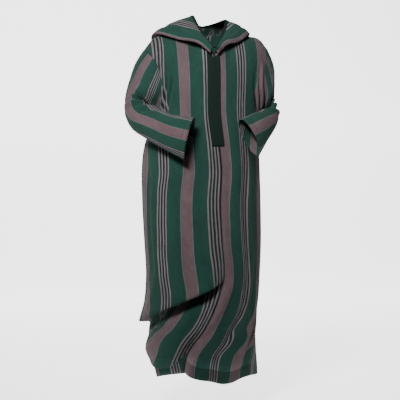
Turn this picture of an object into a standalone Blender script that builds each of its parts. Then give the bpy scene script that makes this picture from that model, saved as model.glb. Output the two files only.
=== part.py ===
"""Hooded striped robe in its worn form: two fronts, a back, two bent sleeves, a hood and a placket.

Every piece is a thin closed cloth wall. The front faces -Y, up is +Z, and the origin is at the
neck base, where the robe is carried.
"""
import bpy
import numpy as np

# Cloth sizes in metres
CLOTH_THICKNESS = 0.0016
SEAM_GAP = 0.0003

# Body rings, from the hem up. "right" and "left" are the wearer's sides. "turn" is in degrees.
BODY_COLUMNS = ("z", "right", "left", "side", "front", "back", "square", "turn", "seam")
BODY_RINGS = (
    (-1.400, -0.252, 0.198, 0.000, -0.168, 0.140, 2.2, 6.0, -0.158),
    (-1.330, -0.258, 0.197, 0.000, -0.168, 0.140, 2.2, 6.0, -0.146),
    (-1.240, -0.268, 0.191, 0.000, -0.166, 0.138, 2.2, 6.0, -0.120),
    (-1.150, -0.270, 0.188, 0.000, -0.164, 0.136, 2.2, 6.0, -0.058),
    (-1.050, -0.259, 0.194, 0.000, -0.164, 0.134, 2.3, 6.0, -0.008),
    (-0.950, -0.260, 0.201, 0.000, -0.160, 0.132, 2.3, 6.0, 0.020),
    (-0.800, -0.267, 0.207, 0.000, -0.152, 0.132, 2.4, 6.0, 0.015),
    (-0.650, -0.274, 0.206, 0.000, -0.147, 0.134, 2.4, 6.0, 0.010),
    (-0.540, -0.276, 0.203, 0.000, -0.144, 0.130, 2.4, 5.0, 0.016),
    (-0.430, -0.260, 0.200, 0.000, -0.140, 0.120, 2.4, 3.0, 0.006),
    (-0.320, -0.214, 0.206, 0.000, -0.137, 0.112, 2.3, 1.0, -0.008),
    (-0.200, -0.250, 0.250, 0.000, -0.136, 0.112, 2.2, 0.0, -0.010),
)
RING_SAMPLES = 180

# Armhole: the angle at which the front and the back stop short of the side, from underarm to chest
ARMHOLE_FRONT_DEGREES = 36.0
ARMHOLE_BACK_DEGREES = 36.0
CHEST_HEIGHT = -0.200
UNDERARM_HEIGHT = -0.320
LEVEL_SIDES_FROM = -0.600

# Neckline of the wearer's right half, from the V point round to the centre back
NECKLINE_COLUMNS = ("station", "x", "y", "z")
NECKLINE = (
    (0.00, -0.010, -0.122, -0.080),
    (0.25, -0.040, -0.088, -0.032),
    (0.50, -0.072, -0.010, 0.012),
    (0.75, -0.050, 0.052, 0.018),
    (1.00, 0.000, 0.074, 0.014),
)
V_POINT_X = -0.010

# Shoulder seam from the neck corner to the top of the armhole
SHOULDER_COLUMNS = ("station", "reach", "y", "z")
SHOULDER_RIGHT = (
    (0.0, -0.072, -0.010, 0.012),
    (0.5, -0.165, -0.006, 0.008),
    (0.8, -0.228, -0.002, -0.010),
    (1.0, -0.266, 0.000, -0.058),
)
SHOULDER_LEFT = (
    (0.0, 0.072, -0.010, 0.012),
    (0.5, 0.150, -0.006, 0.010),
    (0.8, 0.206, -0.002, -0.002),
    (1.0, 0.238, 0.000, -0.040),
)

# Heights of the cross lines at the right side, the centre front and the left side, with the number
# of rows down to the next line
LEVEL_COLUMNS = ("name", "right side", "centre", "left side", "rows")
LEVELS = (
    ("chest", -0.200, -0.200, -0.200, 3),
    ("underarm", -0.320, -0.320, -0.320, 5),
    ("hip", -0.620, -0.620, -0.620, 4),
    ("above knee", -0.980, -0.840, -0.860, 3),
    ("fold lip", -1.118, -0.962, -0.985, 1),
    ("under lip", -1.134, -0.982, -1.005, 1),
    ("below lip", -1.150, -1.022, -1.045, 6),
    ("right front hem", -1.205, -1.240, -1.270, 2),
    ("hem", -1.362, -1.313, -1.338, 0),
)
RIGHT_HEM_LINE = 7
LIP_LINE = 4
YOKE_ROWS = 7
YOKE_LIFT = 0.62
FRONT_COLUMNS = 14
NECK_COLUMNS = 4
BACK_SIDE = 1e-6
NECK_SHARE = 0.5 * NECK_COLUMNS / FRONT_COLUMNS

# Hems of the fronts, as a drop below the straight line between the centre seam and the side. The
# right front is drawn up at the centre and at the side, so both of its lower corners are free.
HEM_COLUMNS = ("across", "drop")
HEM_RIGHT = (
    (-0.50, 0.000),
    (-0.42, 0.012),
    (-0.35, 0.030),
    (-0.27, 0.054),
    (-0.20, 0.072),
    (-0.13, 0.064),
    (-0.06, 0.030),
    (0.00, 0.000),
)
HEM_LEFT = (
    (0.00, 0.000),
    (0.05, 0.014),
    (0.12, 0.024),
    (0.20, 0.028),
    (0.28, 0.035),
    (0.34, 0.030),
    (0.42, 0.010),
    (0.50, 0.000),
)

# Soft folds on the body: ends of the fold line as share of the girth from the centre seam and
# height, half-width and push outwards in metres
MEAN_GIRTH = 1.16
FOLD_COLUMNS = ("from across", "from z", "to across", "to z", "half-width", "push")
BODY_FOLDS = (
    (0.000, -1.230, 0.000, -1.400, 0.024, -0.050),
    (0.060, -1.000, 0.060, -1.300, 0.030, 0.014),
    (-0.130, -1.120, -0.200, -1.330, 0.030, 0.012),
    (0.190, -0.560, 0.215, -1.250, 0.020, -0.009),
    (0.290, -0.480, 0.300, -1.200, 0.022, -0.011),
    (-0.400, -0.170, -0.420, -0.330, 0.020, -0.010),
    (0.400, -0.170, 0.415, -0.330, 0.020, -0.010),
    (0.130, -0.400, 0.110, -0.980, 0.030, 0.006),
    (-0.300, -0.560, -0.260, -0.980, 0.028, 0.006),
    (-0.700, -0.420, -0.680, -1.300, 0.030, -0.010),
    (0.700, -0.380, 0.720, -1.300, 0.030, -0.012),
    (-0.880, -0.640, -0.860, -1.380, 0.026, -0.008),
    (0.860, -0.700, 0.870, -1.380, 0.026, -0.009),
)

# Overhanging fold at the knee: how far the cloth comes out above the lip and goes in below it
LIP_OUT = 0.020
LIP_IN = 0.024
LIP_REACH_UP = 0.110
LIP_REACH_DOWN = 0.080

# Sleeve sections from armhole to cuff. Outer and inner edge of the section in metres, half its
# depth, and the direction its near side faces, in degrees from the front towards the outside.
SLEEVE_COLUMNS = (
    "station", "outer x", "outer y", "outer z", "inner x", "inner y", "inner z", "half-depth", "facing",
)
SLEEVE_RIGHT = (
    (0.00, -0.266, 0.000, -0.058, -0.214, 0.000, -0.320, 0.085, 0.0),
    (0.12, -0.296, 0.002, -0.104, -0.222, 0.000, -0.308, 0.078, 0.0),
    (0.28, -0.318, 0.004, -0.165, -0.234, 0.000, -0.296, 0.068, 0.0),
    (0.42, -0.334, 0.004, -0.222, -0.246, -0.006, -0.289, 0.062, 4.0),
    (0.53, -0.342, -0.006, -0.272, -0.252, -0.026, -0.286, 0.056, 10.0),
    (0.62, -0.336, -0.028, -0.326, -0.250, -0.054, -0.284, 0.052, 18.0),
    (0.70, -0.318, -0.064, -0.372, -0.242, -0.084, -0.282, 0.050, 26.0),
    (0.80, -0.276, -0.114, -0.410, -0.214, -0.120, -0.297, 0.047, 30.0),
    (0.90, -0.214, -0.160, -0.452, -0.178, -0.166, -0.320, 0.044, 28.0),
    (1.00, -0.138, -0.196, -0.498, -0.102, -0.206, -0.332, 0.040, 26.0),
)
SLEEVE_LEFT = (
    (0.00, 0.238, 0.000, -0.040, 0.206, 0.000, -0.320, 0.085, 0.0),
    (0.12, 0.262, 0.004, -0.094, 0.214, 0.000, -0.308, 0.078, 0.0),
    (0.28, 0.268, 0.006, -0.160, 0.222, 0.000, -0.299, 0.068, 0.0),
    (0.42, 0.268, 0.004, -0.222, 0.230, -0.004, -0.293, 0.053, 0.0),
    (0.53, 0.260, -0.004, -0.274, 0.230, -0.026, -0.289, 0.046, 2.0),
    (0.62, 0.248, -0.040, -0.326, 0.222, -0.074, -0.288, 0.043, 8.0),
    (0.70, 0.230, -0.092, -0.364, 0.200, -0.126, -0.292, 0.045, 20.0),
    (0.80, 0.202, -0.146, -0.402, 0.160, -0.174, -0.301, 0.042, 32.0),
    (0.90, 0.172, -0.186, -0.440, 0.116, -0.204, -0.320, 0.038, 42.0),
    (1.00, 0.146, -0.214, -0.478, 0.076, -0.222, -0.338, 0.035, 44.0),
)
SLEEVE_ROWS = 18
ARMHOLE_BLEND = 0.30

# Sleeve creases at the elbow: place along the sleeve, middle of the arc round it in turns from the
# inner edge through the front, half-lengths of both, and push outwards
CREASE_COLUMNS = ("along", "around", "half along", "half around", "push")
SLEEVE_CREASES = (
    (0.57, 0.08, 0.065, 0.18, -0.004),
    (0.36, 0.20, 0.080, 0.16, -0.003),
    (0.80, 0.16, 0.055, 0.16, -0.005),
)

# Hood stations from the V point round to the centre back: outer fold, opening edge, and how much
# the upper layer puffs ("fullness", the smaller the fuller) and the under layer lifts ("arch")
HOOD_COLUMNS = ("station", "fold x", "fold y", "fold z", "edge x", "edge y", "edge z", "fullness", "arch")
HOOD_RIGHT = (
    (0.00, -0.026, -0.143, -0.078, -0.012, -0.146, -0.056, 0.50, 0.008),
    (0.14, -0.074, -0.124, -0.038, -0.038, -0.112, -0.012, 0.56, 0.016),
    (0.30, -0.142, -0.094, -0.022, -0.060, -0.066, 0.044, 0.70, 0.016),
    (0.46, -0.218, -0.036, 0.006, -0.069, -0.018, 0.084, 0.96, 0.012),
    (0.58, -0.228, 0.040, 0.000, -0.066, 0.040, 0.086, 0.96, 0.018),
    (0.72, -0.188, 0.122, -0.080, -0.052, 0.098, 0.078, 0.74, 0.030),
    (0.86, -0.104, 0.158, -0.230, -0.028, 0.124, 0.068, 0.62, 0.034),
    (1.00, 0.000, 0.168, -0.345, 0.000, 0.132, 0.062, 0.58, 0.034),
)
HOOD_LEFT = (
    (0.00, 0.008, -0.143, -0.078, -0.008, -0.146, -0.056, 0.50, 0.008),
    (0.14, 0.046, -0.126, -0.042, 0.018, -0.112, -0.020, 0.56, 0.012),
    (0.30, 0.098, -0.098, -0.026, 0.046, -0.066, 0.030, 0.70, 0.012),
    (0.46, 0.158, -0.040, 0.012, 0.064, -0.018, 0.070, 0.86, 0.012),
    (0.58, 0.172, 0.040, 0.010, 0.064, 0.040, 0.076, 0.86, 0.018),
    (0.72, 0.154, 0.122, -0.080, 0.050, 0.098, 0.074, 0.74, 0.030),
    (0.86, 0.094, 0.158, -0.230, 0.028, 0.124, 0.068, 0.62, 0.034),
    (1.00, 0.000, 0.168, -0.345, 0.000, 0.132, 0.062, 0.58, 0.034),
)
HOOD_AROUND = 16
HOOD_ROLL = 0.020
UPPER_ARCH = 0.1
HOOD_ACROSS = 14
# Inside of the fold: deepest corner as a share of the spacing of its points
FOLD_DEPTH_SHARE = 0.7

# Placket: its width, the rows of the fronts that it covers, and how it stands off the cloth
PLACKET_HALF_WIDTH = 0.026
PLACKET_FIRST_ROW = 1
PLACKET_LAST_ROW = 12
PLACKET_COLUMNS = 8
PLACKET_THICKNESS = 0.0018
PLACKET_STAND_OFF = 0.0014

# Colours
STRIPED_GREEN = (0.046, 0.047, 0.043)
BRAID_GREEN = (0.013, 0.024, 0.019)
CLOTH_ROUGHNESS = 0.92


def through(stations, values, at):
    """Smooth curve through table values: a cubic in each cell, slopes taken from the neighbours."""
    stations = np.asarray(stations, float)
    values = np.asarray(values, float)
    order = np.argsort(stations)
    stations = stations[order]
    values = values[order]
    slopes = np.gradient(values, stations)
    at = np.clip(at, stations[0], stations[-1])
    cell = np.clip(np.searchsorted(stations, at, side="right") - 1, 0, len(stations) - 2)
    width = stations[cell + 1] - stations[cell]
    t = (at - stations[cell]) / width
    low = (1 + 2 * t) * (1 - t) ** 2 * values[cell] + t * (1 - t) ** 2 * width * slopes[cell]
    high = t**2 * (3 - 2 * t) * values[cell + 1] + t**2 * (t - 1) * width * slopes[cell + 1]
    return low + high


def column(table, names, name, at):
    """One named column of a table, smoothed at the wanted stations of the first column."""
    rows = np.array([[value for value in row if not isinstance(value, str)] for row in table])
    names = [label for label in names if label != "name"]
    return through(rows[:, 0], rows[:, names.index(name)], at)


def point_column(table, names, labels, at):
    """Three named columns read together as points."""
    return np.stack([column(table, names, label, at) for label in labels], axis=-1)


def unit(vectors):
    return vectors / np.maximum(np.linalg.norm(vectors, axis=-1, keepdims=True), 1e-12)


def ring_angles_to_points(angles, z):
    """Body ring: a rounded rectangle, angle 0 at the right side, a quarter turn at the front."""
    right = column(BODY_RINGS, BODY_COLUMNS, "right", z)
    left = column(BODY_RINGS, BODY_COLUMNS, "left", z)
    side = column(BODY_RINGS, BODY_COLUMNS, "side", z)
    front = column(BODY_RINGS, BODY_COLUMNS, "front", z)
    back = column(BODY_RINGS, BODY_COLUMNS, "back", z)
    power = 2.0 / column(BODY_RINGS, BODY_COLUMNS, "square", z)
    turn = np.radians(column(BODY_RINGS, BODY_COLUMNS, "turn", z))
    across = -np.sign(np.cos(angles)) * np.abs(np.cos(angles)) ** power * (left - right) / 2
    depth = np.where(np.sin(angles) > 0, front - side, back - side) * np.abs(np.sin(angles)) ** power
    x = (left + right) / 2 + across * np.cos(turn) - depth * np.sin(turn)
    y = side + across * np.sin(turn) + depth * np.cos(turn)
    return np.stack([x, y, np.broadcast_to(z, x.shape)], axis=-1)


def ring_point(across, z):
    """Point at a share of the girth from the centre front seam (0), the side seam (half) and the
    centre back (1), measured along the ring; negative shares lie on the wearer's right."""
    across = np.asarray(across, float).ravel()
    z = np.asarray(z, float).ravel()
    angles = np.linspace(-np.pi, np.pi, 2 * RING_SAMPLES + 1)
    angles = np.broadcast_to(angles, (len(z), len(angles)))
    points = ring_angles_to_points(angles, z[:, None])
    steps = np.linalg.norm(np.diff(points, axis=1), axis=2)
    run = np.concatenate([np.zeros((len(z), 1)), np.cumsum(steps, axis=1)], axis=1)
    seam_x = column(BODY_RINGS, BODY_COLUMNS, "seam", z)
    opened = np.clip((z - UNDERARM_HEIGHT) / (CHEST_HEIGHT - UNDERARM_HEIGHT), 0, 1)
    rounded = np.sqrt(opened) * 0.6 + opened * 0.4
    front_stop = np.radians(ARMHOLE_FRONT_DEGREES) * rounded
    back_stop = np.radians(ARMHOLE_BACK_DEGREES) * rounded
    blend = np.clip((z - LEVEL_SIDES_FROM) / (UNDERARM_HEIGHT - LEVEL_SIDES_FROM), 0, 1)
    blend = blend**2 * (3 - 2 * blend)
    half = RING_SAMPLES
    out = np.empty((len(z), 3))
    for row in range(len(z)):
        girth = run[row, -1]
        seam = np.interp(seam_x[row], points[row, half:, 0], run[row, half:])
        quarter = girth / 4
        stops = np.array([front_stop[row], np.pi - front_stop[row], -back_stop[row], -np.pi + back_stop[row]])
        armholes = np.interp(stops, angles[row], run[row])
        armholes[3] += girth
        sides = seam + quarter * np.array([-1, 1, -1, 1])
        right, left, back_right, back_left = sides + (armholes - sides) * blend[row]
        centre_back = (back_right + back_left - girth) / 2
        share = across[row]
        if share < -0.5:
            place = back_right + (centre_back - back_right) * (-share - 0.5) * 2
        elif share <= 0:
            place = seam + (right - seam) * (-share) * 2
        elif share <= 0.5:
            place = seam + (left - seam) * share * 2
        else:
            place = back_left + (centre_back + girth - back_left) * (share - 0.5) * 2
        for axis in range(3):
            out[row, axis] = np.interp(place % girth, run[row], points[row, :, axis])
    return out


def level_height(across, line):
    """Height on a cross line: straight between the side and the centre seam, then round the back."""
    lines = np.arange(len(LEVELS))
    right = np.interp(line, lines, [row[1] for row in LEVELS])
    centre = np.interp(line, lines, [row[2] for row in LEVELS])
    left = np.interp(line, lines, [row[3] for row in LEVELS])
    share = np.clip(np.abs(across) * 2, 0, 1)
    height = centre + np.where(across < 0, right - centre, left - centre) * share
    on_right = column(HEM_RIGHT, HEM_COLUMNS, "drop", np.clip(across, -0.5, 0))
    on_left = column(HEM_LEFT, HEM_COLUMNS, "drop", np.clip(across, 0, 0.5))
    height = height - on_right * np.clip(line - RIGHT_HEM_LINE + 1, 0, 1)
    return height - on_left * np.clip(line - RIGHT_HEM_LINE, 0, 1)


def soft_push(across, z):
    """Push of the soft folds: each is a ridge or a trough whose height dies away from its line."""
    girth = MEAN_GIRTH
    push = np.zeros_like(across)
    for a0, z0, a1, z1, width, height in BODY_FOLDS:
        start = np.array([a0 * girth / 2, z0])
        end = np.array([a1 * girth / 2, z1])
        run = end - start
        along = ((across * girth / 2 - start[0]) * run[0] + (z - start[1]) * run[1]) / (run @ run)
        nearest = np.clip(along, 0, 1)
        off_x = across * girth / 2 - start[0] - nearest * run[0]
        off_z = z - start[1] - nearest * run[1]
        fade = np.clip(1.2 - np.abs(nearest - 0.5), 0, 1)
        push = push + height * fade * np.exp(-(off_x**2) / width**2 - off_z**2 / (2.2 * width) ** 2)
    return push


def lip_push(across, z):
    """Overhang at the knee: the cloth swells above the lip line and is set back below it."""
    lip = level_height(across, LIP_LINE)
    under = level_height(across, LIP_LINE + 1)
    below = lip - z
    step = np.clip(below / (lip - under), 0, 1)
    swell = LIP_OUT * np.exp(np.minimum(below, 0) / LIP_REACH_UP)
    set_back = -LIP_IN * np.exp(-np.maximum(below - 0.02, 0) / LIP_REACH_DOWN)
    strength = np.clip((0.03 - across) / 0.12, 0, 1) * np.clip((across + 0.58) / 0.25, 0, 1)
    strength = strength**2 * (3 - 2 * strength)
    return strength * (swell * (1 - step) + set_back * step)


def grid_normals(points):
    """Outward directions of a surface grid from its rows and columns."""
    along = np.gradient(points, axis=0)
    across = np.gradient(points, axis=1)
    return unit(np.cross(along, across))


def mirror_x(points, side):
    return points * np.array([side, 1.0, 1.0])


def neckline(station, side):
    """Point of the neckline from the V point (0) to the centre back (1) on one side."""
    points = point_column(NECKLINE, NECKLINE_COLUMNS, ("x", "y", "z"), station)
    if side > 0:
        points = mirror_x(points, -1.0)
        points[..., 0] += 2 * V_POINT_X * np.clip(1 - np.asarray(station) * 4, 0, 1) ** 2
    return points


def top_edge(across):
    """Top edge of the fronts and the back: neckline up to the neck corner, then the shoulder seam."""
    points = np.empty((len(across), 3))
    for index, share in enumerate(across):
        side = -1.0 if share <= 0 else 1.0
        size = abs(share)
        table = SHOULDER_RIGHT if side < 0 else SHOULDER_LEFT
        if size <= NECK_SHARE:
            points[index] = neckline(np.array(0.5 * size / NECK_SHARE), side)
        elif size >= 1 - NECK_SHARE:
            points[index] = neckline(np.array(1 - 0.5 * (1 - size) / NECK_SHARE), side)
        else:
            part = (min(size, 1 - size) - NECK_SHARE) / (0.5 - NECK_SHARE)
            points[index] = point_column(table, SHOULDER_COLUMNS, ("reach", "y", "z"), np.array(part))
    return points


def yoke(across, rise):
    """From the chest line (rise 0) over the shoulder to the top edge (rise 1), a cubic per column."""
    chest = ring_point(across, np.full(len(across), CHEST_HEIGHT))
    top = top_edge(across)
    size = np.abs(across)
    on_back = (size > 0.5)[:, None]
    open_neck = np.clip(1 - size / (NECK_SHARE * 1.6), 0, 1)[:, None]
    open_back = np.clip(1 - (1 - size) / (NECK_SHARE * 1.6), 0, 1)[:, None]
    lift = np.array([0, 0, YOKE_LIFT]) * (top - chest)[:, 2:3]
    level = np.where(on_back, np.array([0, 0.060, -0.004]), np.array([0, -0.060, -0.004]))
    steep = np.where(on_back, np.array([0, 0.012, -0.040]), np.array([0, -0.014, -0.036]))
    weight = np.where(on_back, open_back, open_neck)
    second = chest + lift
    third = top + level * (1 - weight) + steep * weight
    r = rise[:, None, None]
    return (1 - r) ** 3 * chest + 3 * r * (1 - r) ** 2 * second + 3 * r**2 * (1 - r) * third + r**3 * top


def body_grid(across, lines, yoke_rows):
    """Surface grid, top row first: the yoke rows, then rows on the cross lines down to the hem."""
    upper = yoke(across, np.linspace(1, 0, yoke_rows + 1))
    lower = np.empty((len(lines) - 1, len(across), 3))
    for index, heights in enumerate(lines[1:]):
        lower[index] = ring_point(across, heights)
    base = np.concatenate([upper, lower])
    normals = grid_normals(base)
    z = base[..., 2]
    shares = np.broadcast_to(across, z.shape)
    push = soft_push(shares, z) + lip_push(shares, z)
    push[0] = 0
    return base + normals * push[..., None]


def front_lines(across):
    """Heights of all rows of the fronts from the chest line to the hem."""
    rows = []
    for index, level in enumerate(LEVELS[:-1]):
        for step in range(level[4]):
            rows.append(level_height(across, index + step / level[4]))
    rows.append(level_height(across, len(LEVELS) - 1))
    return rows


def back_lines(across):
    """Rows of the back: they run straight from side seam to side seam."""
    right = front_lines(np.array([-0.5]))
    left = front_lines(np.array([0.5]))
    share = np.where(across < 0, -across - 0.5, 1.5 - across)
    return [low[0] + (high[0] - low[0]) * share for low, high in zip(right, left)]


def sleeve_ellipse(table, side, along, around):
    """Sleeve section: an ellipse between its inner and outer edges, near side first."""
    outer = point_column(table, SLEEVE_COLUMNS, ("outer x", "outer y", "outer z"), along)
    inner = point_column(table, SLEEVE_COLUMNS, ("inner x", "inner y", "inner z"), along)
    depth = column(table, SLEEVE_COLUMNS, "half-depth", along)
    facing = np.radians(column(table, SLEEVE_COLUMNS, "facing", along))
    near = np.stack([side * np.sin(facing), -np.cos(facing), np.zeros_like(facing)], axis=-1)
    middle = (outer + inner) / 2
    reach = (outer - inner) / 2
    axis = unit(np.gradient(middle, along, axis=0))
    near = unit(near - axis * np.sum(near * axis, axis=1, keepdims=True))
    turn = 2 * np.pi * around[None, :, None]
    return middle[:, None] - np.cos(turn) * reach[:, None] + np.sin(turn) * (near * depth[:, None])[:, None]


def sleeve_grid(table, side, armhole, rows):
    """Sleeve surface: starts on the armhole loop, eases into the elliptical sections, with creases."""
    around = np.arange(len(armhole)) / len(armhole)
    along = np.linspace(0, 1, rows + 1)
    sections = sleeve_ellipse(table, side, along, around)
    ease = np.clip(1 - along / ARMHOLE_BLEND, 0, 1) ** 2
    points = sections + ease[:, None, None] * (armhole - sections[0])
    push = np.zeros(points.shape[:2])
    for place, arc, half_along, half_around, height in SLEEVE_CREASES:
        gap = np.abs((around - arc + 0.5) % 1 - 0.5)
        push += height * np.exp(-((along[:, None] - place) ** 2) / half_along**2 - gap**2 / half_around**2)
    return points + closed_normals(points) * push[..., None]


def closed_normals(points):
    """Outward directions of a tube grid whose columns run all the way round."""
    centre = points.mean(axis=1, keepdims=True)
    around = np.roll(points, -1, axis=1) - np.roll(points, 1, axis=1)
    along = np.gradient(points, axis=0)
    normals = unit(np.cross(around, along))
    flip = np.sign(np.sum(normals * (points - centre), axis=(1, 2)).mean())
    return normals * flip


def hood_grid(table, side, around, across):
    """Hood half: the under layer runs from the neckline out to the fold, the upper layer comes back
    to the opening edge. The gap between the layers closes towards the fold as (1 - reach)^fullness."""
    corners = np.linspace(0, 1, 2 * NECK_COLUMNS + 1)
    at_corners = neckline(corners, side)
    start = np.stack([np.interp(around, corners, at_corners[:, axis]) for axis in range(3)], axis=-1)
    start[:, 2] += SEAM_GAP + 1.4 * CLOTH_THICKNESS
    start[:, 1] += 0.004 * np.clip((around - 0.6) / 0.2, 0, 1)
    start[:, 0] += side * 0.004 * np.clip(1 - around * 6, 0, 1)
    fold = point_column(table, HOOD_COLUMNS, ("fold x", "fold y", "fold z"), around)
    edge = point_column(table, HOOD_COLUMNS, ("edge x", "edge y", "edge z"), around)
    fullness = column(table, HOOD_COLUMNS, "fullness", around)
    reach = (1 - np.abs(2 * across - 1) ** 1.25)[None, :]
    chord = unit(fold - start)
    square = unit(np.array([0, 0, 1.0]) - chord * chord[:, 2:3])
    arch = column(table, HOOD_COLUMNS, "arch", around)[:, None]
    rise = 1.25 * arch * np.sin(np.pi * reach**0.7) * (1 - reach**4)
    upper = (across > 0.5)[None, :]
    kept = UPPER_ARCH + (1 - UPPER_ARCH) * np.clip((around - 0.5) / 0.3, 0, 1)[:, None]
    rise = np.where(upper, rise * kept, rise)
    base = start[:, None] + (fold - start)[:, None] * reach[..., None] + square[:, None] * rise[..., None]
    opening = (edge - start)[:, None] * ((1 - reach) ** fullness[:, None])[..., None]
    roll = HOOD_ROLL * reach * np.sqrt(np.maximum(1 - reach**2, 0))
    opening = opening + square[:, None] * roll[..., None]
    return base + np.where(upper[..., None], opening, 0)


def pull_in(grid, first_row, last_row, first_column, last_column):
    """Shortens the chosen edges of a grid by half the seam gap."""
    moves = np.zeros_like(grid)
    if first_row:
        moves[0] += unit(grid[1] - grid[0]) * SEAM_GAP / 2
    if last_row:
        moves[-1] += unit(grid[-2] - grid[-1]) * SEAM_GAP / 2
    if first_column:
        moves[:, 0] += unit(grid[:, 1] - grid[:, 0]) * SEAM_GAP / 2
    if last_column:
        moves[:, -1] += unit(grid[:, -2] - grid[:, -1]) * SEAM_GAP / 2
    return moves


def cloth_wall(name, outer, inner, closed, material):
    """Closed solid from an outer and an inner grid, joined along the free edges."""
    rows, columns = outer.shape[:2]
    count = rows * columns
    vertices = np.concatenate([outer.reshape(-1, 3), inner.reshape(-1, 3)])
    faces = []
    last = columns if closed else columns - 1
    for i in range(rows - 1):
        for j in range(last):
            a = i * columns + j
            b = i * columns + (j + 1) % columns
            c = (i + 1) * columns + (j + 1) % columns
            d = (i + 1) * columns + j
            faces += [(a, d, c), (a, c, b)]
            faces += [(a + count, c + count, d + count), (a + count, b + count, c + count)]
    for j in range(last):
        k = (j + 1) % columns
        a, b = j, k
        faces += [(a, b, b + count), (a, b + count, a + count)]
        a, b = (rows - 1) * columns + j, (rows - 1) * columns + k
        faces += [(a, b + count, b), (a, a + count, b + count)]
    if not closed:
        for i in range(rows - 1):
            a, b = i * columns, (i + 1) * columns
            faces += [(a, b + count, b), (a, a + count, b + count)]
            a, b = i * columns + columns - 1, (i + 1) * columns + columns - 1
            faces += [(a, b, b + count), (a, b + count, a + count)]
    mesh = bpy.data.meshes.new(name)
    mesh.from_pydata(vertices.tolist(), [], faces)
    mesh.update()
    volume = 0.0
    for a, b, c in faces:
        volume += np.dot(vertices[a], np.cross(vertices[b], vertices[c])) / 6
    if volume < 0:
        mesh.flip_normals()
    for polygon in mesh.polygons:
        polygon.use_smooth = True
    mesh.materials.append(material)
    piece = bpy.data.objects.new(name, mesh)
    bpy.context.scene.collection.objects.link(piece)
    return piece


def cloth_material(name, colour):
    material = bpy.data.materials.new(name)
    material.use_nodes = True
    shader = material.node_tree.nodes["Principled BSDF"]
    shader.inputs["Base Color"].default_value = (*colour, 1.0)
    shader.inputs["Roughness"].default_value = CLOTH_ROUGHNESS
    shader.inputs["Metallic"].default_value = 0.0
    return material


for leftover in list(bpy.data.objects):
    bpy.data.objects.remove(leftover)

# Body: both fronts as one surface, then the back, so that neighbours share their slope at a seam
front_shares = np.linspace(-0.5, 0.5, 2 * FRONT_COLUMNS + 1)
half_back = np.linspace(0.5 + BACK_SIDE, 1, FRONT_COLUMNS + 1)
back_shares = np.concatenate([half_back, -half_back[-2::-1]])
front = body_grid(front_shares, front_lines(front_shares), YOKE_ROWS)
back = body_grid(back_shares, back_lines(back_shares), YOKE_ROWS)
underarm_row = YOKE_ROWS + LEVELS[0][4]
for front_edge, back_edge in ((0, -1), (-1, 0)):
    seam = (front[underarm_row:, front_edge] + back[underarm_row:, back_edge]) / 2
    front[underarm_row:, front_edge] = seam
    back[underarm_row:, back_edge] = seam
front_out = grid_normals(front)
back_out = grid_normals(back)

# Side seams and shoulder seams share one wall direction
for front_edge, back_edge in ((0, -1), (-1, 0)):
    shared = unit(front_out[underarm_row:, front_edge] + back_out[underarm_row:, back_edge])
    front_out[underarm_row:, front_edge] = shared
    back_out[underarm_row:, back_edge] = shared
shoulder = np.abs(front_shares) >= NECK_SHARE - 1e-6
along = np.clip((np.abs(front_shares) - NECK_SHARE) / (0.5 - NECK_SHARE), 0, 1)
upward = unit(np.stack([np.sign(front_shares) * (0.05 + 0.75 * along**3), 0 * along, 1 + 0 * along], axis=-1))
front_out[0, shoulder] = upward[shoulder]
back_out[0, shoulder] = upward[::-1][shoulder]

# Armhole loops run from the underarm up the front to the shoulder and down the back
sleeves = {}
for name, side, front_edge, back_edge, table in (
    ("sleeve_right", -1.0, 0, -1, SLEEVE_RIGHT),
    ("sleeve_left", 1.0, -1, 0, SLEEVE_LEFT),
):
    up = front[underarm_row::-1, front_edge]
    down = back[1:underarm_row, back_edge]
    sleeve = sleeve_grid(table, side, np.concatenate([up, down]), SLEEVE_ROWS)
    sleeve_out = closed_normals(sleeve)
    panel_out = np.concatenate([front_out[underarm_row::-1, front_edge], back_out[1:underarm_row, back_edge]])
    mitre = unit(sleeve_out[0] + panel_out)
    mitre = mitre / np.maximum(np.sum(mitre * panel_out, axis=1, keepdims=True), 0.6)
    sleeve_out[0] = mitre
    front_out[underarm_row::-1, front_edge] = mitre[: underarm_row + 1]
    back_out[: underarm_row + 1, back_edge] = np.concatenate([mitre[underarm_row:], mitre[:1]])
    sleeve = sleeve + pull_in(sleeve, True, False, False, False)
    sleeves[name] = (sleeve, sleeve - sleeve_out * CLOTH_THICKNESS)

striped = cloth_material("striped cloth", STRIPED_GREEN)
braid = cloth_material("braid", BRAID_GREEN)

middle = FRONT_COLUMNS
right_rows = len(front) - LEVELS[RIGHT_HEM_LINE][4]
for name, part, part_out in (
    ("front_right", front[: right_rows, : middle + 1], front_out[: right_rows, : middle + 1]),
    ("front_left", front[:, middle:], front_out[:, middle:]),
    ("back", back, back_out),
):
    edges = pull_in(part, True, False, True, True)
    cloth_wall(name, part + edges, part + edges - part_out * CLOTH_THICKNESS, False, striped)
for name, (outer, inner) in sleeves.items():
    cloth_wall(name, outer, inner, True, striped)

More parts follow.
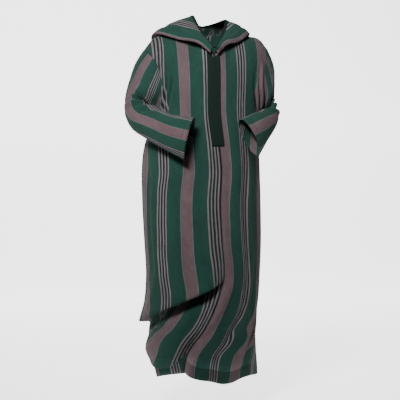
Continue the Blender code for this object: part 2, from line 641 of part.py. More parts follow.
# Hood halves
around = np.linspace(0, 1, HOOD_AROUND + 1)
across = np.linspace(0, 1, HOOD_ACROSS + 1)
for name, side, table in (("hood_right", -1.0, HOOD_RIGHT), ("hood_left", 1.0, HOOD_LEFT)):
    hood = hood_grid(table, side, around, across)
    hood_out = grid_normals(hood) * side
    hood_out[-1, :, 0] = 0
    hood_out = unit(hood_out)
    # The wall's direction at the fold halves the angle between the layers
    tip = HOOD_ACROSS // 2
    below = hood[:, tip - 1] - hood[:, tip]
    above = unit(hood[:, tip + 1] - hood[:, tip])
    spacing = np.linalg.norm(below, axis=1)
    half_angle = np.arccos(np.sum(unit(below) * above, axis=1)) / 2
    depth = np.minimum(1 / np.sin(half_angle), FOLD_DEPTH_SHARE * spacing / CLOTH_THICKNESS)
    hood_out[:, tip] = -unit(unit(below) + above) * depth[:, None]
    edges = pull_in(hood, False, True, False, False)
    cloth_wall(name, hood + edges, hood + edges - hood_out * CLOTH_THICKNESS, False, striped)

# Placket: made from the points of the fronts, moved out
reach = np.linspace(-1, 1, PLACKET_COLUMNS + 1) * PLACKET_HALF_WIDTH
placket_rows = range(PLACKET_FIRST_ROW, PLACKET_LAST_ROW + 1)
base = np.empty((len(placket_rows), len(reach), 3))
base_out = np.empty_like(base)
for index, row in enumerate(placket_rows):
    steps = np.linalg.norm(np.diff(front[row, :, :2], axis=0), axis=1)
    run = np.concatenate([[0], np.cumsum(steps)])
    run = run - run[middle]
    for axis in range(3):
        base[index, :, axis] = np.interp(reach, run, front[row, :, axis])
        base_out[index, :, axis] = np.interp(reach, run, front_out[row, :, axis])
base_out = unit(base_out)
inner = base + base_out * PLACKET_STAND_OFF
cloth_wall("placket", inner + base_out * PLACKET_THICKNESS, inner, False, braid)
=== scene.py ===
"""Hooded striped robe in its worn form: each cloth piece is a thin shell on its own solid's form.

Metres throughout. The front faces -Y, up is +Z, and the neck base is the origin.
"""

import bpy
import numpy as np
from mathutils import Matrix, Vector


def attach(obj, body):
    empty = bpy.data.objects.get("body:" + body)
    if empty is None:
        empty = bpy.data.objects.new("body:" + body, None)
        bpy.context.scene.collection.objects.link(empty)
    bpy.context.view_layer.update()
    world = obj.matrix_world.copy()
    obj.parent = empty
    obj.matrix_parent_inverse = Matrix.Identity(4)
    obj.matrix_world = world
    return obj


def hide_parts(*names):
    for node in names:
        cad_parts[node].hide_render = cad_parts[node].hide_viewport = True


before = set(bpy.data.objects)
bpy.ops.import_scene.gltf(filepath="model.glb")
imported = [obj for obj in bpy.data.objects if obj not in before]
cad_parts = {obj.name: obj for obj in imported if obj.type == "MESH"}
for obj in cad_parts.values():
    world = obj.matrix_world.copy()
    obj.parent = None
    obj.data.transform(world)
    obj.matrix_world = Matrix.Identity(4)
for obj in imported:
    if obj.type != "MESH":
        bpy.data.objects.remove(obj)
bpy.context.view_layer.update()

# Camera: level with the middle of the robe and a little to the wearer's right, five metres off,
# with a lens that takes in 1.6 m at that distance.
CAMERA_TURN = np.radians(-12.0)
CAMERA_DISTANCE = 5.0
CAMERA_HEIGHT = -0.648
CAMERA_SIDE = -0.036
ahead = np.array([-np.sin(CAMERA_TURN), np.cos(CAMERA_TURN), 0.0])
aim = CAMERA_SIDE * np.array([np.cos(CAMERA_TURN), np.sin(CAMERA_TURN), 0.0])
aim = aim + np.array([0, 0, CAMERA_HEIGHT])
lens = bpy.data.cameras.new("camera")
lens.lens = 112.5
lens.sensor_width = 36.0
camera = bpy.data.objects.new("camera", lens)
camera.location = Vector(aim - CAMERA_DISTANCE * ahead)
camera.rotation_euler = Vector(ahead).to_track_quat("-Z", "Y").to_euler()
bpy.context.scene.collection.objects.link(camera)
bpy.context.scene.camera = camera


# Studio: a pale sweep of floor and wall in one piece, a soft lamp high at the left front with a narrow
# spread, a weak one from the right, one on the wall, and a dim even sky. The sweep is a floor, a
# quarter round and a wall.
FLOOR_HEIGHT = -1.47
SWEEP_HALF_WIDTH = 4.6
FLOOR_FROM = -0.3
SWEEP_RADIUS = 1.6
WALL_DISTANCE = 7.0
WALL_TOP = 4.5
PALE = (0.93, 0.93, 0.93)


def sweep_profile(steps):
    """Side view of the sweep: straight floor, then (sin a, 1 - cos a) times the radius, then the wall."""
    turn = np.linspace(0, np.pi / 2, steps)
    bend_y = WALL_DISTANCE - SWEEP_RADIUS + SWEEP_RADIUS * np.sin(turn)
    bend_z = FLOOR_HEIGHT + SWEEP_RADIUS * (1 - np.cos(turn))
    y = np.concatenate([[FLOOR_FROM], bend_y, [WALL_DISTANCE]])
    z = np.concatenate([[FLOOR_HEIGHT], bend_z, [WALL_TOP]])
    return y, z


sweep_y, sweep_z = sweep_profile(17)
sweep_count = len(sweep_y)
sweep_corners = np.zeros((sweep_count, 2, 3))
sweep_corners[:, 0, 0] = -SWEEP_HALF_WIDTH
sweep_corners[:, 1, 0] = SWEEP_HALF_WIDTH
sweep_corners[:, :, 1] = sweep_y[:, None]
sweep_corners[:, :, 2] = sweep_z[:, None]
step = np.arange(sweep_count - 1)
sweep_faces = np.stack([2 * step, 2 * step + 1, 2 * step + 3, 2 * step + 2], axis=1)
sweep_mesh = bpy.data.meshes.new("studio_sweep")
sweep_mesh.from_pydata(sweep_corners.reshape(-1, 3).tolist(), [], sweep_faces.tolist())
sweep_mesh.shade_smooth()
pale_paper = bpy.data.materials.new("pale paper")
pale_paper.use_nodes = True
pale_paper.node_tree.nodes["Principled BSDF"].inputs["Base Color"].default_value = (*PALE, 1)
pale_paper.node_tree.nodes["Principled BSDF"].inputs["Roughness"].default_value = 0.9
pale_paper.node_tree.nodes["Principled BSDF"].inputs["Emission Color"].default_value = (1.0, 1.0, 1.0, 1)
pale_paper.node_tree.nodes["Principled BSDF"].inputs["Emission Strength"].default_value = 2.2
sweep_mesh.materials.append(pale_paper)
studio_sweep = bpy.data.objects.new("studio_sweep", sweep_mesh)
bpy.context.scene.collection.objects.link(studio_sweep)

sky = bpy.data.worlds.new("pale sky")
sky.use_nodes = True
sky.node_tree.nodes["Background"].inputs["Color"].default_value = (1.0, 1.0, 1.0, 1)
sky.node_tree.nodes["Background"].inputs["Strength"].default_value = 0.10
bpy.context.scene.world = sky


def soft_lamp(name, place, target, size, power, spread=180.0):
    """Square lamp of that size in metres, turned towards its target."""
    light = bpy.data.lights.new(name, "AREA")
    light.size = size
    light.spread = np.radians(spread)
    light.energy = power
    lamp = bpy.data.objects.new(name, light)
    lamp.location = Vector(place)
    lamp.rotation_euler = (Vector(target) - Vector(place)).to_track_quat("-Z", "Y").to_euler()
    bpy.context.scene.collection.objects.link(lamp)


soft_lamp("key lamp", (-1.5, -2.9, 1.35), (0.0, 0, -0.30), 0.9, 24.0, 50.0)
soft_lamp("fill lamp", (2.6, -3.8, 0.6), (0, 0, -0.7), 2.0, 4.0)
soft_lamp("wall lamp", (0.0, 3.0, 3.6), (0, 7.0, 0.2), 3.0, 190.0)


# Front panels: two straight lengths of striped wool-like cloth, right and left of a centre seam,
# sewn at the shoulders and sides. Each hangs free at the hem, and at the knee the right one laps
# over itself in one deep fold that is swept to the wearer's right.
CLOTH_THICKNESS = 0.0015
ROWS_FINER = 5
COLUMNS_FINER = 4
RING_NAMES = ("z", "right", "left", "side", "front", "back", "square", "turn", "seam")
RINGS = np.array([
    (-1.400, -0.252, 0.198, 0.000, -0.168, 0.140, 2.2, 6.0, -0.158),
    (-1.330, -0.258, 0.197, 0.000, -0.168, 0.140, 2.2, 6.0, -0.146),
    (-1.240, -0.268, 0.191, 0.000, -0.166, 0.138, 2.2, 6.0, -0.120),
    (-1.150, -0.270, 0.188, 0.000, -0.164, 0.136, 2.2, 6.0, -0.058),
    (-1.050, -0.259, 0.194, 0.000, -0.164, 0.134, 2.3, 6.0, -0.008),
    (-0.950, -0.260, 0.201, 0.000, -0.160, 0.132, 2.3, 6.0, 0.020),
    (-0.800, -0.267, 0.207, 0.000, -0.152, 0.132, 2.4, 6.0, 0.015),
    (-0.650, -0.274, 0.206, 0.000, -0.147, 0.134, 2.4, 6.0, 0.010),
    (-0.540, -0.276, 0.203, 0.000, -0.144, 0.130, 2.4, 5.0, 0.016),
    (-0.430, -0.260, 0.200, 0.000, -0.140, 0.120, 2.4, 3.0, 0.006),
    (-0.320, -0.214, 0.206, 0.000, -0.137, 0.112, 2.3, 1.0, -0.008),
    (-0.200, -0.250, 0.250, 0.000, -0.136, 0.112, 2.2, 0.0, -0.010),
])
ARMHOLE_DEGREES = 36.0
CHEST_HEIGHT = -0.200
UNDERARM_HEIGHT = -0.320
LEVEL_SIDES_FROM = -0.600


def through(stations, values, at):
    """Curve through a table: a cubic in each cell, whose slopes come from the neighbouring rows."""
    order = np.argsort(stations)
    stations, values = np.asarray(stations, float)[order], np.asarray(values, float)[order]
    slopes = np.gradient(values, stations)
    at = np.clip(at, stations[0], stations[-1])
    cell = np.clip(np.searchsorted(stations, at, side="right") - 1, 0, len(stations) - 2)
    width = stations[cell + 1] - stations[cell]
    t = (at - stations[cell]) / width
    low = (1 + 2 * t) * (1 - t) ** 2 * values[cell] + t * (1 - t) ** 2 * width * slopes[cell]
    high = t**2 * (3 - 2 * t) * values[cell + 1] + t**2 * (t - 1) * width * slopes[cell + 1]
    return low + high


def unit(vectors):
    """Vectors divided by their lengths."""
    return vectors / np.maximum(np.linalg.norm(vectors, axis=-1, keepdims=True), 1e-12)


def length_from_start(steps, axis):
    """Steps added up along an axis, from nought."""
    start = np.zeros_like(np.take(steps, [0], axis=axis))
    return np.concatenate([start, np.cumsum(steps, axis=axis)], axis=axis)


def ring_value(name, z):
    """One column of the ring table at those heights."""
    return through(RINGS[:, 0], RINGS[:, RING_NAMES.index(name)], z)


def body_forms(heights, cuts):
    """Front and back forms as tables of points by height and by cut place from -1 to 1. Each level is
    the ring x = -sign(cos a)|cos a|^(2/square) w, y = d |sin a|^(2/square), turned about its middle;
    the cut place is a share of the cloth's own width, measured along the ring."""
    angle = np.linspace(-np.pi, np.pi, 361)[None, :]
    level = {name: ring_value(name, heights)[:, None] for name in RING_NAMES}
    power = 2.0 / level["square"]
    turn = np.radians(level["turn"])
    across = -np.sign(np.cos(angle)) * np.abs(np.cos(angle)) ** power * (level["left"] - level["right"]) / 2
    reach = np.where(np.sin(angle) > 0, level["front"] - level["side"], level["back"] - level["side"])
    depth = reach * np.abs(np.sin(angle)) ** power
    ring = np.stack([
        (level["left"] + level["right"]) / 2 + across * np.cos(turn) - depth * np.sin(turn),
        level["side"] + across * np.sin(turn) + depth * np.cos(turn),
        np.broadcast_to(heights[:, None], across.shape),
    ], axis=-1)
    run = length_from_start(np.linalg.norm(np.diff(ring, axis=1), axis=2), 1)
    girth = run[:, -1]
    seam = np.array([np.interp(x, line[180:, 0], length[180:])
                     for x, line, length in zip(level["seam"][:, 0], ring, run)])
    opened = np.clip((heights - UNDERARM_HEIGHT) / (CHEST_HEIGHT - UNDERARM_HEIGHT), 0, 1)
    stop = np.radians(ARMHOLE_DEGREES) * (np.sqrt(opened) * 0.6 + opened * 0.4)
    ends = np.stack([stop, np.pi - stop, -stop, -np.pi + stop], axis=1)
    ends = np.array([np.interp(row, angle[0], length) for row, length in zip(ends, run)])
    ends[:, 3] += girth
    blend = np.clip((heights - LEVEL_SIDES_FROM) / (UNDERARM_HEIGHT - LEVEL_SIDES_FROM), 0, 1)
    blend = (blend**2 * (3 - 2 * blend))[:, None]
    sides = seam[:, None] + girth[:, None] / 4 * np.array([-1, 1, -1, 1])
    right, left, back_right, back_left = ((1 - blend) * sides + blend * ends).T
    centre_back = (back_right + back_left + girth) / 2
    front_width = np.where(cuts < 0, (seam - right)[:, None], (left - seam)[:, None])
    back_right = back_right + girth
    back_width = np.where(cuts < 0, (centre_back - back_left)[:, None], (back_right - centre_back)[:, None])
    front_place = seam[:, None] + front_width * cuts
    back_place = centre_back[:, None] + back_width * cuts
    return [
        np.array([[np.interp(at % full, length, line[:, axis]) for axis in range(3)]
                  for at, full, length, line in zip(place, girth, run, ring)]).transpose(0, 2, 1)
        for place in (front_place, back_place)
    ]


FORM_HEIGHTS = np.linspace(-1.44, -0.20, 311)
FORM_CUTS = np.linspace(-1, 1, 281)
front_form, back_form = body_forms(FORM_HEIGHTS, FORM_CUTS)


def read_form(form, cut, z):
    """Point of a form at a cut place and a height, straight between the four nearest table entries."""
    row = np.clip((z - FORM_HEIGHTS[0]) / (FORM_HEIGHTS[1] - FORM_HEIGHTS[0]), 0, len(FORM_HEIGHTS) - 1.001)
    col = np.clip((cut - FORM_CUTS[0]) / (FORM_CUTS[1] - FORM_CUTS[0]), 0, len(FORM_CUTS) - 1.001)
    i, j = row.astype(int), col.astype(int)
    s, t = (row - i)[..., None], (col - j)[..., None]
    low = form[i, j] * (1 - t) + form[i, j + 1] * t
    high = form[i + 1, j] * (1 - t) + form[i + 1, j + 1] * t
    return low * (1 - s) + high * s


# Cross lines: height at the right side, centre front and left side, and rows down to the next one
LINES = np.array([
    (-0.200, -0.200, -0.200, 3),
    (-0.320, -0.320, -0.320, 5),
    (-0.620, -0.620, -0.620, 4),
    (-0.980, -0.840, -0.860, 3),
    (-1.118, -0.962, -0.985, 1),
    (-1.134, -0.982, -1.005, 1),
    (-1.150, -1.022, -1.045, 6),
    (-1.205, -1.240, -1.270, 2),
    (-1.362, -1.313, -1.338, 0),
])
FOLD_LINE = 4
RIGHT_HEM_LINE = 7
YOKE_ROWS = 7
HEM_DROP_RIGHT = np.array([
    (-0.50, 0.000), (-0.42, 0.012), (-0.35, 0.026), (-0.27, 0.046), (-0.20, 0.066), (-0.13, 0.070),
    (-0.06, 0.044), (0.00, 0.000),
])
HEM_DROP_LEFT = np.array([
    (0.00, 0.000), (0.05, 0.014), (0.12, 0.024), (0.20, 0.028), (0.28, 0.035), (0.34, 0.030),
    (0.42, 0.010), (0.50, 0.000),
])


def line_height(across, line):
    """Height of a cross line: straight from the centre to either side, less the drop of the hems."""
    order = np.arange(len(LINES))
    right, centre, left = (np.interp(line, order, LINES[:, place]) for place in range(3))
    height = centre + np.where(across < 0, right - centre, left - centre) * np.clip(np.abs(across) * 2, 0, 1)
    on_right = through(HEM_DROP_RIGHT[:, 0], HEM_DROP_RIGHT[:, 1], np.clip(across, -0.5, 0))
    on_left = through(HEM_DROP_LEFT[:, 0], HEM_DROP_LEFT[:, 1], np.clip(across, 0, 0.5))
    height = height - on_right * np.clip(line - RIGHT_HEM_LINE + 1, 0, 1)
    return height - on_left * np.clip(line - RIGHT_HEM_LINE, 0, 1)


def row_lines():
    """Line number of every row from the chest down: each space between lines is cut into its rows."""
    counts = LINES[:-1, 3].astype(int) * ROWS_FINER
    parts = [index + np.arange(count) / count for index, count in enumerate(counts)]
    return np.concatenate(parts + [[len(LINES) - 1]])


# Soft folds and sharper creases: ends as share of the girth from the centre seam and height, then
# half-width and push outwards. The last rows are the bunched cloth in front of the armholes, the
# packing crease across the skirt, and the long thin folds at the wearer's left.
MEAN_GIRTH = 1.16
SOFT_LONG = 2.2
CREASE_LONG = 1.0
SOFT_FOLDS = np.array([
    (0.000, -1.230, 0.000, -1.400, 0.024, -0.050),
    (0.060, -1.000, 0.060, -1.300, 0.030, 0.014),
    (-0.130, -1.120, -0.200, -1.330, 0.030, 0.012),
    (0.190, -0.560, 0.215, -1.250, 0.020, -0.009),
    (0.290, -0.480, 0.300, -1.200, 0.022, -0.011),
    (-0.400, -0.170, -0.420, -0.330, 0.020, -0.010),
    (0.400, -0.170, 0.415, -0.330, 0.020, -0.010),
    (0.130, -0.400, 0.110, -0.980, 0.030, 0.006),
    (-0.300, -0.560, -0.260, -0.980, 0.028, 0.006),
    (-0.700, -0.420, -0.680, -1.300, 0.030, -0.010),
    (0.700, -0.380, 0.720, -1.300, 0.030, -0.012),
    (-0.880, -0.640, -0.860, -1.380, 0.026, -0.008),
    (0.860, -0.700, 0.870, -1.380, 0.026, -0.009),
])
FRONT_CREASES = np.array([
    (-0.462, -0.110, -0.474, -0.290, 0.007, 0.006),
    (-0.440, -0.140, -0.455, -0.330, 0.006, -0.006),
    (-0.418, -0.150, -0.430, -0.345, 0.007, 0.005),
    (-0.396, -0.190, -0.404, -0.380, 0.008, -0.004),
    (-0.372, -0.230, -0.384, -0.430, 0.010, 0.003),
    (0.462, -0.110, 0.474, -0.300, 0.007, 0.006),
    (0.440, -0.130, 0.452, -0.340, 0.006, -0.006),
    (0.418, -0.160, 0.426, -0.350, 0.007, 0.005),
    (0.392, -0.180, 0.402, -0.400, 0.008, -0.005),
    (-0.380, -0.912, -0.200, -0.910, 0.0035, -0.0022),
    (-0.200, -0.910, 0.000, -0.908, 0.0030, -0.0016),
    (0.006, -0.914, 0.110, -0.924, 0.0045, -0.0034),
    (0.335, -0.460, 0.350, -1.270, 0.008, -0.006),
    (0.372, -0.430, 0.392, -1.290, 0.007, 0.005),
    (0.408, -0.440, 0.430, -1.300, 0.008, -0.006),
    (0.448, -0.400, 0.466, -1.310, 0.007, 0.005),
    (-0.470, -0.470, -0.462, -0.930, 0.010, -0.005),
    (-0.430, -0.520, -0.440, -1.060, 0.012, 0.004),
    (-0.430, -1.150, -0.270, -1.132, 0.0060, -0.0060),
    (-0.400, -1.168, -0.250, -1.152, 0.0080, 0.0040),
    (-0.190, -1.060, -0.080, -1.030, 0.0080, -0.0050),
    (-0.200, -1.085, -0.090, -1.055, 0.0090, 0.0040),
    (-0.110, -1.120, -0.020, -1.078, 0.0070, -0.0035),
    (0.010, -1.000, -0.012, -1.180, 0.012, -0.006),
    (0.110, -1.010, 0.030, -1.240, 0.016, -0.008),
    (0.190, -1.020, 0.110, -1.300, 0.014, 0.006),
    (0.240, -1.080, 0.200, -1.320, 0.012, -0.006),
    (-0.220, -0.420, -0.240, -0.700, 0.014, -0.002),
    (0.060, -0.520, 0.070, -0.860, 0.010, -0.003),
    (-0.120, -0.560, -0.110, -0.900, 0.014, -0.002),
])


def fold_push(table, across, z, long_share):
    """Push of folds, each h exp(-(dx/w)^2 - (dz/(kw))^2) from its nearest point, easing off at the ends."""
    push = np.zeros(across.shape)
    for a0, z0, a1, z1, width, height in table:
        start = np.array([a0 * MEAN_GIRTH / 2, z0])
        end = np.array([a1 * MEAN_GIRTH / 2, z1])
        course = end - start
        off_x, off_z = across * MEAN_GIRTH / 2 - start[0], z - start[1]
        nearest = np.clip((off_x * course[0] + off_z * course[1]) / (course @ course), 0, 1)
        off_x, off_z = off_x - nearest * course[0], off_z - nearest * course[1]
        fade = np.clip(1.2 - np.abs(nearest - 0.5), 0, 1)
        push += height * fade * np.exp(-(off_x**2) / width**2 - off_z**2 / (long_share * width) ** 2)
    return push


FOLD_OUT = 0.026
FOLD_IN = 0.058
FOLD_REACH_UP = 0.110
FOLD_REACH_DOWN = 0.065
FOLD_HANG = 0.022


def past_lip(across, z):
    """0 above the lip of the knee fold and 1 under it, and the distance below the lip."""
    lip = line_height(across, FOLD_LINE)
    share = np.clip((lip - z) / (lip - line_height(across, FOLD_LINE + 1)), 0, 1)
    return share**2 * (3 - 2 * share), lip - z


def knee_fold(across, z):
    """Push and drop of the knee fold. Above its lip the cloth swells as exp(-distance), below the lip
    it is set back, and between them it hangs down and turns under."""
    share, below = past_lip(across, z)
    lip = line_height(across, FOLD_LINE)
    under = line_height(across, FOLD_LINE + 1)
    swell = FOLD_OUT * np.exp(np.minimum(below, 0) / FOLD_REACH_UP)
    set_back = -FOLD_IN * np.exp(-np.maximum(below - 0.02, 0) / FOLD_REACH_DOWN)
    strength = np.clip((0.03 - across) / 0.12, 0, 1) * np.clip((across + 0.68) / 0.25, 0, 1)
    strength = strength**2 * (3 - 2 * strength)
    hang = np.exp(-(((z - (lip + under) / 2 - 0.004) / 0.016) ** 2))
    return strength * (swell * (1 - share) + set_back * share), strength * FOLD_HANG * hang * (share - 0.5)


# Top edge: neckline from the V point to the centre back, and shoulder seams out to the armholes
NECKLINE = np.array([
    (0.00, -0.010, -0.122, -0.080),
    (0.25, -0.040, -0.088, -0.032),
    (0.50, -0.072, -0.010, 0.012),
    (0.75, -0.050, 0.052, 0.018),
    (1.00, 0.000, 0.074, 0.014),
])
V_POINT_X = -0.010
SHOULDER_RIGHT = np.array([
    (0.0, -0.072, -0.010, 0.012), (0.5, -0.165, -0.006, 0.008), (0.8, -0.228, -0.002, -0.010),
    (1.0, -0.266, 0.000, -0.058),
])
SHOULDER_LEFT = np.array([
    (0.0, 0.072, -0.010, 0.012), (0.5, 0.150, -0.006, 0.010), (0.8, 0.206, -0.002, -0.002),
    (1.0, 0.238, 0.000, -0.040),
])
FRONT_COLUMNS = 14
NECK_SHARE = 0.5 * 4 / FRONT_COLUMNS
YOKE_LIFT = 0.62


def points_through(table, at, first=1):
    """Points on the curve through three columns of a table whose column 0 is the station."""
    return np.stack([through(table[:, 0], table[:, first + axis], at) for axis in range(3)], axis=-1)


def neckline(station, side):
    """Neckline of one side, the table mirrored for the left, both meeting at the V point."""
    points = points_through(NECKLINE, station)
    if side > 0:
        points[..., 0] = -points[..., 0] + 2 * V_POINT_X * np.clip(1 - station * 4, 0, 1) ** 2
    return points


def top_edge(across):
    """Top edge by share of the girth: neckline near the front and back middle, shoulder between."""
    size = np.abs(across)
    front_station = 0.5 * size / NECK_SHARE
    back_station = 1 - 0.5 * (1 - size) / NECK_SHARE
    shoulder_station = np.clip((np.minimum(size, 1 - size) - NECK_SHARE) / (0.5 - NECK_SHARE), 0, 1)
    station = np.where(size < 0.5, np.minimum(front_station, 0.5), np.maximum(back_station, 0.5))
    on_neck = ((size <= NECK_SHARE) | (size >= 1 - NECK_SHARE))[:, None]
    right = np.where(on_neck, neckline(station, -1.0), points_through(SHOULDER_RIGHT, shoulder_station))
    left = np.where(on_neck, neckline(station, 1.0), points_through(SHOULDER_LEFT, shoulder_station))
    return np.where((across <= 0)[:, None], right, left)


def yoke(chest, across, rise):
    """Cloth from the chest line over the shoulder to the top edge: one cubic Bezier in each column."""
    top = top_edge(across)
    size = np.abs(across)
    on_back = (size > 0.5)[:, None]
    at_neck = np.clip(1 - np.minimum(size, 1 - size) / (NECK_SHARE * 1.6), 0, 1)[:, None]
    level = np.where(on_back, np.array([0, 0.060, -0.004]), np.array([0, -0.060, -0.004]))
    steep = np.where(on_back, np.array([0, 0.012, -0.040]), np.array([0, -0.014, -0.036]))
    second = chest + np.array([0, 0, YOKE_LIFT]) * (top - chest)[:, 2:3]
    third = top + level * (1 - at_neck) + steep * at_neck
    r = rise[:, None, None]
    return (1 - r) ** 3 * chest + 3 * r * (1 - r) ** 2 * second + 3 * r**2 * (1 - r) * third + r**3 * top


def outward(points):
    """Outward directions of a grid: its run down the rows crossed with its run along them."""
    return unit(np.cross(np.gradient(points, axis=0), np.gradient(points, axis=1)))


def body_sheet(form, cuts, across, heights):
    """Grid of one side of the body before folds: yoke rows, then rows at the given heights."""
    chest = read_form(form, cuts, np.full(len(cuts), CHEST_HEIGHT))
    upper = yoke(chest, across, np.linspace(1, 0, YOKE_ROWS * ROWS_FINER + 1))
    lower = read_form(form, np.broadcast_to(cuts, heights[1:].shape), heights[1:])
    return np.concatenate([upper, lower])


def stripe_run(sheet, middle, slant):
    """Width of cloth from the middle column: level distance along each row; on the yoke, where the
    rows climb, the same distance as straight below at the chest. Slanted stripes run closer."""
    chest = YOKE_ROWS * ROWS_FINER
    run = length_from_start(np.linalg.norm(np.diff(sheet[..., :2], axis=1), axis=2), 1)
    run = run - run[:, middle : middle + 1]
    x = sheet[:chest, :, 0]
    line_x, line_run = sheet[chest, :, 0], run[chest]
    if line_x[0] > line_x[-1]:
        line_x, line_run = line_x[::-1], line_run[::-1]
    sign = np.sign(line_run[-1] - line_run[0])
    run[:chest] = np.interp(x, line_x, line_run) + sign * (x - np.clip(x, line_x[0], line_x[-1]))
    slope = np.gradient(ring_value("seam", FORM_HEIGHTS), FORM_HEIGHTS)
    closer = 1 / np.sqrt(1 + (slant * np.interp(sheet[..., 2], FORM_HEIGHTS, slope)) ** 2)
    return run * closer


def hem_run(points):
    """Length of cloth up from the bottom row, measured down each column."""
    run = length_from_start(np.linalg.norm(np.diff(points, axis=0), axis=2), 0)
    return run[-1:] - run


front_across = np.linspace(-0.5, 0.5, 2 * FRONT_COLUMNS * COLUMNS_FINER + 1)
front_middle = FRONT_COLUMNS * COLUMNS_FINER
front_heights = np.array([line_height(front_across, line) for line in row_lines()])
front_flat = body_sheet(front_form, front_across * 2, front_across, front_heights)
front_run = stripe_run(front_flat, front_middle, 1.0)
front_level_run = stripe_run(front_flat, front_middle, 0.0)
front_shares = np.broadcast_to(front_across, front_flat.shape[:2])
front_z = front_flat[..., 2]
knee_push, knee_drop = knee_fold(front_shares, front_z)
front_push = fold_push(SOFT_FOLDS, front_shares, front_z, SOFT_LONG)
front_push = front_push + fold_push(FRONT_CREASES, front_shares, front_z, CREASE_LONG) + knee_push

# The centre seam: below the placket the right front laps a little over the left
below_placket = np.clip((-0.43 - front_z) / 0.04, 0, 1)
lap = np.where(front_shares <= 0, 0.0022, -0.0030)
front_push += below_placket * np.exp(-((front_run / 0.006) ** 2)) * lap
front_push[0] = 0
front = front_flat + outward(front_flat) * front_push[..., None]
front[..., 2] += knee_drop

back_across = np.linspace(0.5, 1, front_middle + 1)
back_across = np.concatenate([back_across, np.linspace(-1, -0.5, front_middle + 1)[1:]])
back_across[0] += 1e-6
back_cuts = np.linspace(-1, 1, 2 * front_middle + 1)
side_right, side_left = front_heights[:, :1], front_heights[:, -1:]
back_heights = side_right + (side_left - side_right) * (1 - back_cuts) / 2
back_flat = body_sheet(back_form, back_cuts, back_across, back_heights)
back_run = stripe_run(back_flat, front_middle, 0.0)
back_shares = np.broadcast_to(back_across, back_flat.shape[:2])
back_z = back_flat[..., 2]
knee_push, knee_drop = knee_fold(back_shares, back_z)


def cloth_piece(name, points, run, closed=False, flipped=False):
    """Mesh of a cloth grid: grid point (i, j) is a corner, every cell a face, and the map "cloth" holds
    the run across and along the cloth in metres. A closed grid joins its last column to its first."""
    rows, columns = points.shape[:2]
    width = run.shape[1]
    i, j = np.meshgrid(np.arange(rows - 1), np.arange(columns if closed else columns - 1), indexing="ij")
    k = (j + 1) % columns
    down = i + 1
    corners = np.stack([i * columns + j, down * columns + j, down * columns + k, i * columns + k], axis=-1)
    places = np.stack([i * width + j, down * width + j, down * width + j + 1, i * width + j + 1], axis=-1)
    if flipped:
        corners, places = corners[..., ::-1], places[..., ::-1]
    mesh = bpy.data.meshes.new(name)
    mesh.from_pydata(points.reshape(-1, 3).tolist(), [], corners.reshape(-1, 4).tolist())
    mesh.uv_layers.new(name="cloth").data.foreach_set("uv", run.reshape(-1, 2)[places.ravel()].ravel())
    mesh.shade_smooth()
    piece = bpy.data.objects.new(name, mesh)
    bpy.context.scene.collection.objects.link(piece)
    return piece


def thicken(piece, thickness):
    """Gives a sheet its thickness on the inside."""
    wall = piece.modifiers.new("cloth thickness", "SOLIDIFY")
    wall.thickness = thickness
    wall.offset = -1.0


# Colours of the yarns, as linear values
STRIPE_REPEAT = 0.208
YARN_GREEN = (0.0105, 0.0400, 0.0300)
YARN_MAUVE = (0.092, 0.062, 0.068)
YARN_GREY = (0.125, 0.121, 0.125)
YARN_DARK = (0.013, 0.013, 0.014)
MAUVE_EDGE = (0.085, 0.092, 0.090)

# Stripes of one repeat: millimetres from the start of the four-line group, and the yarn from there
STRIPES = (
    (0.0, YARN_DARK), (1.0, YARN_GREY), (7.0, YARN_DARK), (13.5, YARN_GREY), (19.5, YARN_DARK),
    (26.5, YARN_GREY), (32.5, YARN_DARK), (39.0, YARN_GREY), (45.0, YARN_DARK), (46.5, YARN_GREEN),
    (102.0, MAUVE_EDGE), (105.5, YARN_MAUVE), (147.5, MAUVE_EDGE), (151.0, YARN_GREEN),
)


